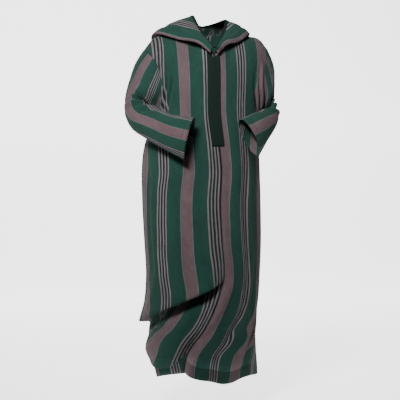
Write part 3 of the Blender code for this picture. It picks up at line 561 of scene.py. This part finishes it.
class Weave:
    """Node maker for one cloth material: each call adds a node and returns its output."""

    def __init__(self, name):
        self.material = bpy.data.materials.new(name)
        self.material.use_nodes = True
        self.nodes = self.material.node_tree.nodes
        self.links = self.material.node_tree.links
        self.shader = self.nodes["Principled BSDF"]

    def put(self, socket, value):
        if isinstance(value, bpy.types.NodeSocket):
            self.links.new(value, socket)
        else:
            socket.default_value = value

    def sum(self, kind, first, second=0.0, third=0.0):
        node = self.nodes.new("ShaderNodeMath")
        node.operation = kind
        for socket, value in zip(node.inputs, (first, second, third)):
            self.put(socket, value)
        return node.outputs[0]

    def times(self, first, second):
        return self.sum("MULTIPLY", first, second)

    def runs(self):
        place = self.nodes.new("ShaderNodeUVMap")
        place.uv_map = "cloth"
        parts = self.nodes.new("ShaderNodeSeparateXYZ")
        self.links.new(place.outputs[0], parts.inputs[0])
        return parts.outputs[0], parts.outputs[1]

    def spots(self, x, y, detail=2.0):
        joined = self.nodes.new("ShaderNodeCombineXYZ")
        self.put(joined.inputs[0], x)
        self.put(joined.inputs[1], y)
        noise = self.nodes.new("ShaderNodeTexNoise")
        noise.inputs["Scale"].default_value = 1.0
        noise.inputs["Detail"].default_value = detail
        self.links.new(joined.outputs[0], noise.inputs["Vector"])
        return noise.outputs["Fac"]

    def steps(self, value, stops, kind="CONSTANT"):
        ramp = self.nodes.new("ShaderNodeValToRGB")
        ramp.color_ramp.interpolation = kind
        marks = ramp.color_ramp.elements
        marks[0].position, marks[1].position = stops[0][0], stops[1][0]
        for place, _ in stops[2:]:
            marks.new(place)
        for mark, (_, colour) in zip(marks, stops):
            mark.color = (*colour, 1)
        self.links.new(value, ramp.inputs[0])
        return ramp.outputs[0]

    def tint(self, colour, factor):
        """Colour times a grey factor."""
        node = self.nodes.new("ShaderNodeMix")
        node.data_type = "RGBA"
        node.blend_type = "MULTIPLY"
        node.inputs[0].default_value = 1.0
        self.links.new(colour, node.inputs[6])
        self.links.new(factor, node.inputs[7])
        return node.outputs[2]

    def between(self, value, low, high):
        """Value from 0..1 stretched to low..high."""
        node = self.nodes.new("ShaderNodeMapRange")
        node.inputs[1].default_value, node.inputs[2].default_value = 0.25, 0.75
        node.inputs[3].default_value, node.inputs[4].default_value = low, high
        self.links.new(value, node.inputs[0])
        return node.outputs[0]

    def relief(self, height, depth):
        bump = self.nodes.new("ShaderNodeBump")
        bump.inputs["Strength"].default_value = 1.0
        bump.inputs["Distance"].default_value = depth
        self.links.new(height, bump.inputs["Height"])
        self.links.new(bump.outputs[0], self.shader.inputs["Normal"])


def striped_cloth(name, stitch_heights, hem_height=0.0, lap_shadow_end=0.0):
    """Wool-like cloth with woven stripes: the yarn colour is a step function of the run across, the
    heather is noise drawn out along the warp and along the weft, and the relief is the product of
    two sines, one thread apart. A stitch line is a thin dark band at a height above the hem. Below the
    hem height the cloth is darker, painted shade, and a band just above it is lighter, a painted
    highlight. Up to the lap shadow end on the run across, a near-black band is painted shadow of the
    front that laps over this one."""
    weave = Weave(name)
    across, along = weave.runs()
    drift = weave.spots(weave.times(across, 30.0), weave.times(along, 14.0))
    wander = weave.sum("MULTIPLY_ADD", drift, 0.0030, across)
    share = weave.sum("FRACT", weave.times(wander, 1 / STRIPE_REPEAT))
    colour = weave.steps(share, [(place / 1000 / STRIPE_REPEAT, yarn) for place, yarn in STRIPES])
    warp = weave.spots(weave.times(across, 620.0), weave.times(along, 26.0))
    weft = weave.spots(weave.times(across, 40.0), weave.times(along, 560.0))
    cloud = weave.spots(weave.times(across, 16.0), weave.times(along, 7.0), 4.0)
    colour = weave.tint(colour, weave.between(warp, 0.74, 1.26))
    colour = weave.tint(colour, weave.between(weft, 0.84, 1.16))
    colour = weave.tint(colour, weave.between(cloud, 0.86, 1.12))
    if hem_height:
        # Painted shade and highlight: below the hem height the colour is multiplied by 0.73, and above it a band 45
        # mm high is lightened from 1.35 times down to 1
        painted_hem_shade = weave.times(weave.sum("LESS_THAN", along, hem_height), -0.62)
        above = weave.sum("SUBTRACT", along, hem_height)
        painted_hem_highlight = weave.sum("SUBTRACT", 1.0, weave.times(above, 1 / 0.045))
        painted_hem_highlight = weave.times(weave.sum("MINIMUM", weave.sum("MAXIMUM", painted_hem_highlight, 0.0), 1.0), 0.35)
        colour = weave.tint(colour, weave.sum("ADD", weave.sum("ADD", painted_hem_shade, painted_hem_highlight), 1.0))
    # Painted shadow of the lap: the colour is cut to 0.14 along the start of the run across, where the right front
    # laps over this one
    if lap_shadow_end:
        dark = weave.times(weave.sum("LESS_THAN", across, lap_shadow_end), 0.86)
        colour = weave.tint(colour, weave.sum("SUBTRACT", 1.0, dark))
    for height in stitch_heights:
        off = weave.sum("ABSOLUTE", weave.sum("SUBTRACT", along, height))
        near = weave.sum("LESS_THAN", off, 0.0009)
        wave = weave.sum("SINE", weave.times(across, 2 * np.pi / 0.0055))
        dash = weave.sum("GREATER_THAN", wave, -0.35)
        thread = weave.times(weave.times(near, dash), -0.62)
        colour = weave.tint(colour, weave.sum("ADD", thread, 1.0))
    weave.links.new(colour, weave.shader.inputs["Base Color"])
    threads = weave.times(
        weave.sum("SINE", weave.times(across, 2 * np.pi / 0.0016)),
        weave.sum("SINE", weave.times(along, 2 * np.pi / 0.0016)))
    weave.relief(weave.sum("ADD", weave.times(threads, 0.35), weave.sum("ADD", warp, weft)), 0.0007)
    weave.links.new(weave.between(warp, 0.78, 0.96), weave.shader.inputs["Roughness"])
    weave.shader.inputs["Sheen Weight"].default_value = 0.03
    weave.shader.inputs["Sheen Roughness"].default_value = 0.55
    weave.shader.inputs["Specular IOR Level"].default_value = 0.10
    return weave.material


HEM_DEPTH = 0.047
LAP_SHADOW_END = 0.1045
body_cloth = striped_cloth("striped cloth", (HEM_DEPTH,))
# The left front's cloth carries painted shade below the hem, a painted highlight above it, and a painted lap shadow
# along its seam edge
left_cloth = striped_cloth("striped cloth with painted lap shadow and hem shade", (HEM_DEPTH,), HEM_DEPTH, LAP_SHADOW_END)

# Cloth taken up in soft folds: height, then the shift of the stripes at every 50 mm from the seam
TAKEN_UP_STEP = 0.050
TAKEN_UP_RIGHT = np.array([
    (-0.100, 0.000, 0.002, 0.006, 0.010, 0.012, 0.012),
    (-0.300, 0.000, 0.004, 0.009, 0.018, 0.018, 0.016),
    (-0.600, -0.002, -0.006, -0.007, -0.006, 0.000, 0.004),
    (-0.850, 0.000, -0.006, -0.009, -0.009, -0.004, 0.000),
    (-1.000, 0.000, -0.004, -0.008, -0.010, -0.006, 0.000),
    (-1.110, 0.000, -0.006, -0.020, -0.028, -0.030, -0.030),
    (-1.200, 0.000, -0.018, -0.030, -0.038, -0.042, -0.045),
    (-1.330, 0.000, -0.018, -0.030, -0.038, -0.042, -0.045),
])
TAKEN_UP_LEFT = np.array([
    (-0.100, 0.000, 0.004, 0.017, 0.021, 0.022, 0.022),
    (-0.300, 0.000, 0.006, 0.021, 0.029, 0.030, 0.030),
    (-0.600, 0.000, 0.008, 0.029, 0.017, 0.010, 0.008),
    (-0.850, 0.000, 0.014, 0.027, 0.020, 0.012, 0.008),
    (-1.000, 0.000, 0.012, 0.020, 0.015, 0.010, 0.006),
    (-1.110, 0.000, 0.018, 0.025, 0.025, 0.025, 0.020),
    (-1.160, 0.000, 0.020, 0.042, 0.046, 0.045, 0.040),
    (-1.210, 0.000, 0.022, 0.030, 0.040, 0.040, 0.040),
    (-1.330, 0.000, 0.008, 0.010, 0.026, 0.030, 0.030),
])


def taken_up(table, run, z):
    """Run with the shifts of the table added, straight between its steps."""
    shift = np.zeros(run.shape)
    for step in range(table.shape[1] - 1):
        near = 1 - np.abs(run / TAKEN_UP_STEP - step)
        if step == table.shape[1] - 2:
            near = np.minimum(near + 2 * np.maximum(run / TAKEN_UP_STEP - step, 0), 1)
        shift += through(table[:, 0], table[:, step + 1], z) * np.clip(near, 0, 1)
    return run + shift


# The right front starts with the four-line group at the seam, the left with a narrow near-black band,
#  painted shadow of the right front's lap over it, and then a mauve band
LEFT_START = 0.103 - 0.007
right_rows = front.shape[0] - int(LINES[RIGHT_HEM_LINE, 3]) * ROWS_FINER
SEAM_SWEPT_FROM = -0.930
SEAM_SWEPT_SHARE = 0.6
for name, shown, start, table in (
    ("front_right", (slice(0, right_rows), slice(0, front_middle + 1)), 0.0, TAKEN_UP_RIGHT),
    ("front_left", (slice(None), slice(front_middle, None)), LEFT_START, TAKEN_UP_LEFT),
):
    part = front[shown]
    run = taken_up(table, np.abs(front_run[shown]), front_z[shown])
    if name == "front_right":
        # Above the lip of the fold the stripes hang straight, though the seam is swept aside
        low = front_z[shown] < SEAM_SWEPT_FROM
        swept = ring_value("seam", np.minimum(front_z[shown], SEAM_SWEPT_FROM))
        swept = ring_value("seam", SEAM_SWEPT_FROM) - swept
        straight = np.abs(front_level_run[shown]) + SEAM_SWEPT_SHARE * swept
        straight = straight + taken_up(table, run, np.full(run.shape, SEAM_SWEPT_FROM)) - run
        straight = np.where(low, straight, run)
        under = past_lip(front_shares[shown], front_z[shown])[0]
        run = straight + (run - straight) * under
    cloth = cloth_piece(name + "_cloth", part, np.stack([run + start, hem_run(part)], axis=-1))
    cloth.data.materials.append(left_cloth if name == "front_left" else body_cloth)
    thicken(cloth, CLOTH_THICKNESS)
    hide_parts(name)
    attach(cloth, "root")


# Back panel: one width of the same cloth from side seam to side seam, hung from the shoulder seams,
# with long soft folds. The group of four lines runs down its middle.
BACK_CREASES = np.array([
    (0.620, -0.300, 0.640, -1.250, 0.016, -0.005),
    (-0.620, -0.340, -0.600, -1.200, 0.016, -0.005),
    (0.780, -0.280, 0.800, -1.320, 0.014, 0.004),
    (-0.790, -0.350, -0.780, -1.300, 0.014, 0.004),
    (0.940, -0.420, 0.950, -1.340, 0.018, -0.005),
    (-0.960, -0.380, -0.940, -1.340, 0.016, 0.004),
    (0.560, -0.200, 0.580, -0.420, 0.009, 0.005),
    (-0.560, -0.200, -0.580, -0.420, 0.009, 0.005),
    (0.600, -0.180, 0.610, -0.400, 0.009, -0.005),
    (-0.600, -0.180, -0.610, -0.400, 0.009, -0.005),
    (0.700, -0.912, 0.995, -0.908, 0.0035, -0.0020),
    (-0.700, -0.912, -0.995, -0.908, 0.0035, -0.0020),
])
back_push = fold_push(SOFT_FOLDS, back_shares, back_z, SOFT_LONG)
back_push = back_push + fold_push(BACK_CREASES, back_shares, back_z, CREASE_LONG) + knee_push
back_push[0] = 0
back = back_flat + outward(back_flat) * back_push[..., None]
back[..., 2] += knee_drop
underarm_row = (YOKE_ROWS + int(LINES[0, 3])) * ROWS_FINER
for front_edge, back_edge in ((0, -1), (-1, 0)):
    back[underarm_row:, back_edge] = front[underarm_row:, front_edge]
BACK_START = 0.023
back_cloth = cloth_piece("back_cloth", back, np.stack([back_run + BACK_START, hem_run(back)], axis=-1))
back_cloth.data.materials.append(body_cloth)
thicken(back_cloth, CLOTH_THICKNESS)
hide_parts("back")
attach(back_cloth, "root")


# Placket: a band of flat dark green braid, 52 mm wide, laid over the top of the centre seam and
# sewn down both edges. Six cords lie side by side in it, with a herringbone twist.
PLACKET_HALF_WIDTH = 0.026
PLACKET_FIRST_ROW = 1
PLACKET_LAST_ROW = 12
PLACKET_THICKNESS = 0.0018
PLACKET_STAND_OFF = 0.0007
YARN_BRAID = (0.0030, 0.0115, 0.0080)


def braid(name, cords, pitch):
    """Braid: cords side by side as |sin(pi n u)|, each crossed by slanting threads sin(v/p +- u)."""
    weave = Weave(name)
    across, along = weave.runs()
    ribs = weave.sum("ABSOLUTE", weave.sum("SINE", weave.times(across, np.pi * cords)))
    lean = weave.sum("PINGPONG", weave.times(across, cords), 1.0)
    slant = weave.sum("ADD", weave.times(along, 1 / pitch), lean)
    twist = weave.sum("SINE", weave.times(slant, 2 * np.pi))
    fuzz = weave.spots(weave.times(across, 40.0), weave.times(along, 500.0))
    # Painted shade and light: the colour is darkened to 0.45 in the grooves between the cords, and goes from 0.79 to
    # 1.11 times along the twist, lighter on the raised threads
    base = weave.steps(ribs, [(0.0, tuple(0.45 * c for c in YARN_BRAID)), (0.75, YARN_BRAID)], "LINEAR")
    base = weave.tint(base, weave.between(fuzz, 0.75, 1.30))
    base = weave.tint(base, weave.sum("MULTIPLY_ADD", twist, 0.16, 0.95))
    weave.links.new(base, weave.shader.inputs["Base Color"])
    raised = weave.sum("ADD", weave.times(ribs, 0.8), weave.times(twist, 0.3))
    weave.relief(raised, 0.0008)
    weave.shader.inputs["Roughness"].default_value = 0.78
    weave.shader.inputs["Sheen Weight"].default_value = 0.02
    weave.shader.inputs["Sheen Roughness"].default_value = 0.5
    weave.shader.inputs["Specular IOR Level"].default_value = 0.12
    return weave.material


placket_rows = slice(PLACKET_FIRST_ROW * ROWS_FINER, PLACKET_LAST_ROW * ROWS_FINER + 1)
placket_reach = np.linspace(-1, 1, 17) * PLACKET_HALF_WIDTH
placket_under = np.array([
    [np.interp(placket_reach, arc, line[:, axis]) for axis in range(3)]
    for arc, line in zip(front_run[placket_rows], front_flat[placket_rows])
]).transpose(0, 2, 1)
crown = 1 - (placket_reach / PLACKET_HALF_WIDTH) ** 6
lifted = PLACKET_STAND_OFF + PLACKET_THICKNESS * (0.55 + 0.45 * crown)
placket_top = placket_under + outward(placket_under) * lifted[None, :, None]
placket_run = np.broadcast_to(np.linspace(0, 1, 17), placket_top.shape[:2])
placket_runs = np.stack([placket_run, hem_run(placket_top)], axis=-1)
placket_band = cloth_piece("placket_braid", placket_top, placket_runs)
placket_band.data.materials.append(braid("placket braid", 6.0, 0.0075))
thicken(placket_band, PLACKET_THICKNESS)
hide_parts("placket")
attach(placket_band, "root")


# Sleeves: tapered tubes of the striped cloth, set into the armholes and closed by a seam under the
# arm, bent at the elbow with the forearms across the front, the cuffs open and plainly hemmed.
ARMHOLE_BLEND = 0.30
SLEEVE_ROWS = 18
MAUVE_MIDDLE = 0.127
SLEEVE_RIGHT = np.array([
    (0.00, -0.266, 0.000, -0.058, -0.214, 0.000, -0.320, 0.085, 0.0),
    (0.12, -0.296, 0.002, -0.104, -0.222, 0.000, -0.308, 0.078, 0.0),
    (0.28, -0.318, 0.004, -0.165, -0.234, 0.000, -0.296, 0.068, 0.0),
    (0.42, -0.334, 0.004, -0.222, -0.246, -0.006, -0.289, 0.062, 4.0),
    (0.53, -0.342, -0.006, -0.272, -0.252, -0.026, -0.286, 0.056, 10.0),
    (0.62, -0.336, -0.028, -0.326, -0.250, -0.054, -0.284, 0.052, 18.0),
    (0.70, -0.318, -0.064, -0.372, -0.242, -0.084, -0.282, 0.050, 26.0),
    (0.80, -0.276, -0.114, -0.410, -0.214, -0.120, -0.297, 0.047, 30.0),
    (0.90, -0.214, -0.160, -0.452, -0.178, -0.166, -0.320, 0.044, 28.0),
    (1.00, -0.138, -0.196, -0.498, -0.102, -0.206, -0.332, 0.040, 26.0),
])
SLEEVE_LEFT = np.array([
    (0.00, 0.238, 0.000, -0.040, 0.206, 0.000, -0.320, 0.085, 0.0),
    (0.12, 0.262, 0.004, -0.094, 0.214, 0.000, -0.308, 0.078, 0.0),
    (0.28, 0.268, 0.006, -0.160, 0.222, 0.000, -0.299, 0.068, 0.0),
    (0.42, 0.268, 0.004, -0.222, 0.230, -0.004, -0.293, 0.053, 0.0),
    (0.53, 0.260, -0.004, -0.274, 0.230, -0.026, -0.289, 0.046, 2.0),
    (0.62, 0.248, -0.040, -0.326, 0.222, -0.074, -0.288, 0.043, 8.0),
    (0.70, 0.230, -0.092, -0.364, 0.200, -0.126, -0.292, 0.045, 20.0),
    (0.80, 0.202, -0.146, -0.402, 0.160, -0.174, -0.301, 0.042, 32.0),
    (0.90, 0.172, -0.186, -0.440, 0.116, -0.204, -0.320, 0.038, 42.0),
    (1.00, 0.146, -0.214, -0.478, 0.076, -0.222, -0.338, 0.035, 44.0),
])

# Creases: place along, place round in turns from the inner edge through the front, half-lengths of
# both, slant, and push. The bunch at the inside of the elbow comes first, then the forearm.
ELBOW_CREASES = np.array([
    (0.57, 0.08, 0.065, 0.18, 0.0, -0.004),
    (0.36, 0.20, 0.080, 0.16, 0.0, -0.003),
    (0.80, 0.16, 0.055, 0.16, 0.0, -0.005),
    (0.400, 0.10, 0.020, 0.11, 0.3, 0.0060),
    (0.450, 0.15, 0.018, 0.15, 0.2, -0.0090),
    (0.495, 0.18, 0.016, 0.18, 0.1, 0.0090),
    (0.545, 0.14, 0.015, 0.22, 0.0, -0.0100),
    (0.590, 0.20, 0.015, 0.20, -0.1, 0.0095),
    (0.640, 0.20, 0.016, 0.20, -0.2, -0.0095),
    (0.690, 0.16, 0.018, 0.18, -0.3, 0.0080),
    (0.745, 0.12, 0.020, 0.16, -0.4, -0.0060),
    (0.170, 0.22, 0.060, 0.05, 0.0, 0.0060),
    (0.230, 0.14, 0.070, 0.04, 0.0, -0.0070),
    (0.860, 0.24, 0.030, 0.12, -0.5, 0.0034),
    (0.920, 0.30, 0.040, 0.10, -0.5, -0.0030),
    (0.520, 0.46, 0.030, 0.12, 0.0, -0.0025),
    (0.600, 0.48, 0.030, 0.12, 0.0, 0.0020),
    (0.560, 0.80, 0.030, 0.16, 0.0, -0.0030),
    (0.640, 0.82, 0.030, 0.16, 0.0, 0.0025),
])


def tube_outward(points):
    """Outward directions of a tube: its run round crossed with its run along, turned off the middle."""
    round_run = np.roll(points, -1, axis=1) - np.roll(points, 1, axis=1)
    normals = unit(np.cross(round_run, np.gradient(points, axis=0)))
    spokes = points - points.mean(axis=1, keepdims=True)
    return normals * np.sign(np.sum(normals * spokes, axis=(1, 2)).mean())


def sleeve(table, side, armhole):
    """Sleeve grid: ellipses middle - reach cos a + near sin a between the inner and the outer edge of
    the table, square to the arm line, eased into the armhole's own loop, then creased."""
    around = np.arange(len(armhole)) / len(armhole)
    along = np.linspace(0, 1, SLEEVE_ROWS * ROWS_FINER + 1)
    outer, inner = points_through(table, along), points_through(table, along, 4)
    depth = through(table[:, 0], table[:, 7], along)[:, None]
    facing = np.radians(through(table[:, 0], table[:, 8], along))
    near = np.stack([side * np.sin(facing), -np.cos(facing), np.zeros_like(facing)], axis=-1)
    middle, reach = (outer + inner) / 2, (outer - inner) / 2
    axis = unit(np.gradient(middle, along, axis=0))
    near = unit(near - axis * np.sum(near * axis, axis=1, keepdims=True))
    turn = 2 * np.pi * around[None, :, None]
    points = middle[:, None] - np.cos(turn) * reach[:, None] + np.sin(turn) * (near * depth)[:, None]
    ease = np.clip(1 - along / ARMHOLE_BLEND, 0, 1) ** 2
    points = points + ease[:, None, None] * (armhole - points[0])
    push = np.zeros(points.shape[:2])
    for place, arc, half_along, half_around, slant, height in ELBOW_CREASES:
        gap = (around - arc + 0.5) % 1 - 0.5
        off = along[:, None] - place - slant * gap
        push += height * np.exp(-(off**2) / half_along**2 - gap**2 / half_around**2)
    return points + tube_outward(points) * push[..., None]


def sleeve_stripes(points, centre):
    """Run across from the middle of the mauve band, whose place round the arm shifts at the elbow. The
    last column of the table draws the stripes closer."""
    closed = np.concatenate([points, points[:, :1]], axis=1)
    girth = np.linalg.norm(np.diff(closed, axis=1), axis=2).sum(axis=1)
    along = np.linspace(0, 1, len(points))
    place = through(centre[:, 0], centre[:, 1], along)
    around = np.arange(points.shape[1] + 1) / points.shape[1]
    closer = through(centre[:, 0], centre[:, 2], along)
    across = (around[None, :] - place[:, None]) * (girth * closer)[:, None] + MAUVE_MIDDLE
    return np.stack([across, hem_run(closed)], axis=-1)


BAND_RIGHT = np.array([
    (0.0, 0.37, 1.1), (0.25, 0.37, 1.15), (0.42, 0.39, 1.15), (0.52, 0.38, 1.1), (0.62, 0.32, 1.2),
    (0.75, 0.26, 1.45), (1.0, 0.230, 1.55),
])
BAND_LEFT = np.array([
    (0.0, 0.46, 1.1), (0.25, 0.47, 1.1), (0.42, 0.46, 1.1), (0.52, 0.40, 1.1), (0.62, 0.30, 1.1),
    (0.75, 0.24, 1.3), (1.0, 0.18, 1.4),
])
CUFF_STITCHES = 0.022
sleeve_cloth_finish = striped_cloth("striped sleeve cloth", (CUFF_STITCHES,))
for name, side, front_edge, back_edge, table, band in (
    ("sleeve_right", -1.0, 0, -1, SLEEVE_RIGHT, BAND_RIGHT),
    ("sleeve_left", 1.0, -1, 0, SLEEVE_LEFT, BAND_LEFT),
):
    armhole = np.concatenate([front[underarm_row::-1, front_edge], back[1:underarm_row, back_edge]])
    tube = sleeve(table, side, armhole)
    cloth = cloth_piece(name + "_cloth", tube, sleeve_stripes(tube, band), closed=True, flipped=side < 0)
    cloth.data.materials.append(sleeve_cloth_finish)
    thicken(cloth, CLOTH_THICKNESS)
    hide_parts(name)
    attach(cloth, "root")


# Hood: two halves of the striped cloth sewn to the neckline and to each other down the back. Laid
# down, each half runs out from the neckline to a soft fold and comes back over it to the opening.
HOOD_RIGHT = np.array([
    (0.00, -0.026, -0.143, -0.078, -0.012, -0.146, -0.056, 0.50, 0.008),
    (0.14, -0.074, -0.124, -0.038, -0.038, -0.112, -0.012, 0.56, 0.016),
    (0.30, -0.142, -0.094, -0.022, -0.060, -0.066, 0.044, 0.70, 0.016),
    (0.46, -0.218, -0.036, 0.006, -0.069, -0.018, 0.084, 0.96, 0.012),
    (0.58, -0.228, 0.040, 0.000, -0.066, 0.040, 0.086, 0.96, 0.018),
    (0.72, -0.188, 0.122, -0.080, -0.052, 0.098, 0.078, 0.74, 0.030),
    (0.86, -0.104, 0.158, -0.230, -0.028, 0.124, 0.068, 0.62, 0.034),
    (1.00, 0.000, 0.168, -0.345, 0.000, 0.132, 0.062, 0.58, 0.034),
])
HOOD_LEFT = np.array([
    (0.00, 0.008, -0.143, -0.078, -0.008, -0.146, -0.056, 0.50, 0.008),
    (0.14, 0.046, -0.126, -0.042, 0.018, -0.112, -0.020, 0.56, 0.012),
    (0.30, 0.098, -0.098, -0.026, 0.046, -0.066, 0.030, 0.70, 0.012),
    (0.46, 0.158, -0.040, 0.012, 0.064, -0.018, 0.070, 0.86, 0.012),
    (0.58, 0.172, 0.040, 0.010, 0.064, 0.040, 0.076, 0.86, 0.018),
    (0.72, 0.154, 0.122, -0.080, 0.050, 0.098, 0.074, 0.74, 0.030),
    (0.86, 0.094, 0.158, -0.230, 0.028, 0.124, 0.068, 0.62, 0.034),
    (1.00, 0.000, 0.168, -0.345, 0.000, 0.132, 0.062, 0.58, 0.034),
])
HOOD_ROLL = 0.020
UPPER_ARCH = 0.1
HOOD_AROUND = 16
HOOD_ACROSS = 14

# Soft creases of the hood: place round, place across (over a half is the upper layer), half-lengths
# of both, slant, and push
HOOD_CREASES = np.array([
    (0.30, 0.74, 0.050, 0.030, 0.30, -0.0040),
    (0.36, 0.66, 0.060, 0.030, 0.25, 0.0030),
    (0.52, 0.70, 0.070, 0.035, 0.10, -0.0040),
    (0.66, 0.78, 0.060, 0.040, 0.20, 0.0035),
    (0.80, 0.70, 0.050, 0.050, -0.40, -0.0050),
    (0.90, 0.64, 0.050, 0.040, -0.50, 0.0040),
    (0.97, 0.80, 0.030, 0.090, 0.00, 0.0030),
])


def hood_half(table, side):
    """Hood grid: the reach 1 - |2a - 1|^1.25 goes out and back; the under layer is the straight way to
    the fold with an arch, the upper layer adds (edge - neck)(1 - reach)^fullness and a rolled fold."""
    around = np.linspace(0, 1, HOOD_AROUND * ROWS_FINER + 1)
    across = np.linspace(0, 1, HOOD_ACROSS * COLUMNS_FINER + 1)
    start = neckline(around, side)
    start[:, 2] += 0.0026
    start[:, 1] += 0.004 * np.clip((around - 0.6) / 0.2, 0, 1)
    start[:, 0] += side * 0.004 * np.clip(1 - around * 6, 0, 1)
    fold, edge = points_through(table, around), points_through(table, around, 4)
    fullness = through(table[:, 0], table[:, 7], around)[:, None]
    arch = through(table[:, 0], table[:, 8], around)[:, None]
    reach = (1 - np.abs(2 * across - 1) ** 1.25)[None, :]
    chord = unit(fold - start)
    square = unit(np.array([0, 0, 1.0]) - chord * chord[:, 2:3])
    upper = np.clip((across - 0.5) / 0.04, 0, 1)[None, :]
    kept = UPPER_ARCH + (1 - UPPER_ARCH) * np.clip((around - 0.5) / 0.3, 0, 1)[:, None]
    rise = 1.25 * arch * np.sin(np.pi * reach**0.7) * (1 - reach**4)
    rise = rise * (1 + (kept - 1) * upper)
    roll = HOOD_ROLL * reach * np.sqrt(np.maximum(1 - reach**2, 0))
    points = start[:, None] + (fold - start)[:, None] * reach[..., None] + square[:, None] * rise[..., None]
    opening = (edge - start)[:, None] * ((1 - reach) ** fullness)[..., None]
    opening = opening + square[:, None] * roll[..., None]
    points = points + np.where((across > 0.5)[None, :, None], opening, 0)
    push = np.zeros(points.shape[:2])
    for place, layer, half_around, half_across, slant, height in HOOD_CREASES:
        off = across[None, :] - layer - slant * (around[:, None] - place)
        push += height * np.exp(-((around[:, None] - place) ** 2) / half_around**2 - off**2 / half_across**2)
    push[-1] = 0
    return points + outward(points) * (side * push[..., None])


# Stripes run round the hood along its fold: their start is set from the fold outwards
hood_cloth_finish = striped_cloth("striped hood cloth", ())
hood_halves = {}
for name, side, table, fold_start in (
    ("hood_right", -1.0, HOOD_RIGHT, 0.112),
    ("hood_left", 1.0, HOOD_LEFT, 0.120),
):
    half = hood_half(table, side)
    hood_halves[name] = half
    on_fold = half.shape[1] // 2
    run = length_from_start(np.linalg.norm(np.diff(half, axis=1), axis=2), 1)
    run = run - run[:, on_fold][:, None]
    round_run = length_from_start(np.linalg.norm(np.diff(half[:, on_fold], axis=0), axis=1), 0)
    round_run = round_run[:, None] + np.zeros_like(run)
    runs = np.stack([fold_start - run, round_run], axis=-1)
    cloth = cloth_piece(name + "_cloth", half, runs, flipped=side < 0)
    cloth.data.materials.append(hood_cloth_finish)
    thicken(cloth, CLOTH_THICKNESS)
    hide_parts(name)
    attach(cloth, "root")


# Hood edging: a round dark green braid sewn along the free edge of each half, from the V of the neck
# round to the centre back.
EDGING_HALF_WIDTH = 0.0060
EDGING_HALF_DEPTH = 0.0024
EDGING_SIDES = 16
for name, side in (("hood_right", -1.0), ("hood_left", 1.0)):
    half = hood_halves[name]
    line = half[:, -1]
    inwards = unit(half[:, -2] - line)
    course = unit(np.gradient(line, axis=0))
    inwards = unit(inwards - course * np.sum(inwards * course, axis=1, keepdims=True))
    face = unit(np.cross(course, inwards))
    turn = 2 * np.pi * np.arange(EDGING_SIDES) / EDGING_SIDES
    ring = (np.cos(turn)[None, :, None] * EDGING_HALF_WIDTH * inwards[:, None]
            + np.sin(turn)[None, :, None] * EDGING_HALF_DEPTH * face[:, None])
    tube = line[:, None] + inwards[:, None] * 0.003 + ring
    along = length_from_start(np.linalg.norm(np.diff(line, axis=0), axis=1), 0)
    share = np.arange(EDGING_SIDES + 1)[None, :] / EDGING_SIDES
    run = np.stack(np.broadcast_arrays(share, along[:, None]), axis=-1)
    normals = np.cross(np.roll(tube, -1, axis=1) - tube, np.gradient(tube, axis=0))
    inside_out = np.sum(normals * (tube - tube.mean(axis=1, keepdims=True))) > 0
    edging = cloth_piece(name + "_edging", tube, run, closed=True, flipped=bool(inside_out))
    ends = bpy.data.meshes.new(name + "_ends")
    first = list(range(EDGING_SIDES))
    last = [(len(line) - 1) * EDGING_SIDES + place for place in first]
    corners = [tuple(face.vertices) for face in edging.data.polygons]
    map_values = np.zeros(len(edging.data.loops) * 2)
    edging.data.uv_layers["cloth"].data.foreach_get("uv", map_values)
    caps = [first[::-1], last] if inside_out else [first, last[::-1]]
    ends.from_pydata([tuple(point) for point in tube.reshape(-1, 3)], [], corners + caps)
    ends.uv_layers.new(name="cloth").data.foreach_set("uv", np.concatenate([map_values, np.zeros(4 * EDGING_SIDES)]))
    ends.shade_smooth()
    edging.data = ends
    edging.data.materials.append(braid(name + " edging braid", 4.0, 0.0060))
    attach(edging, "root")
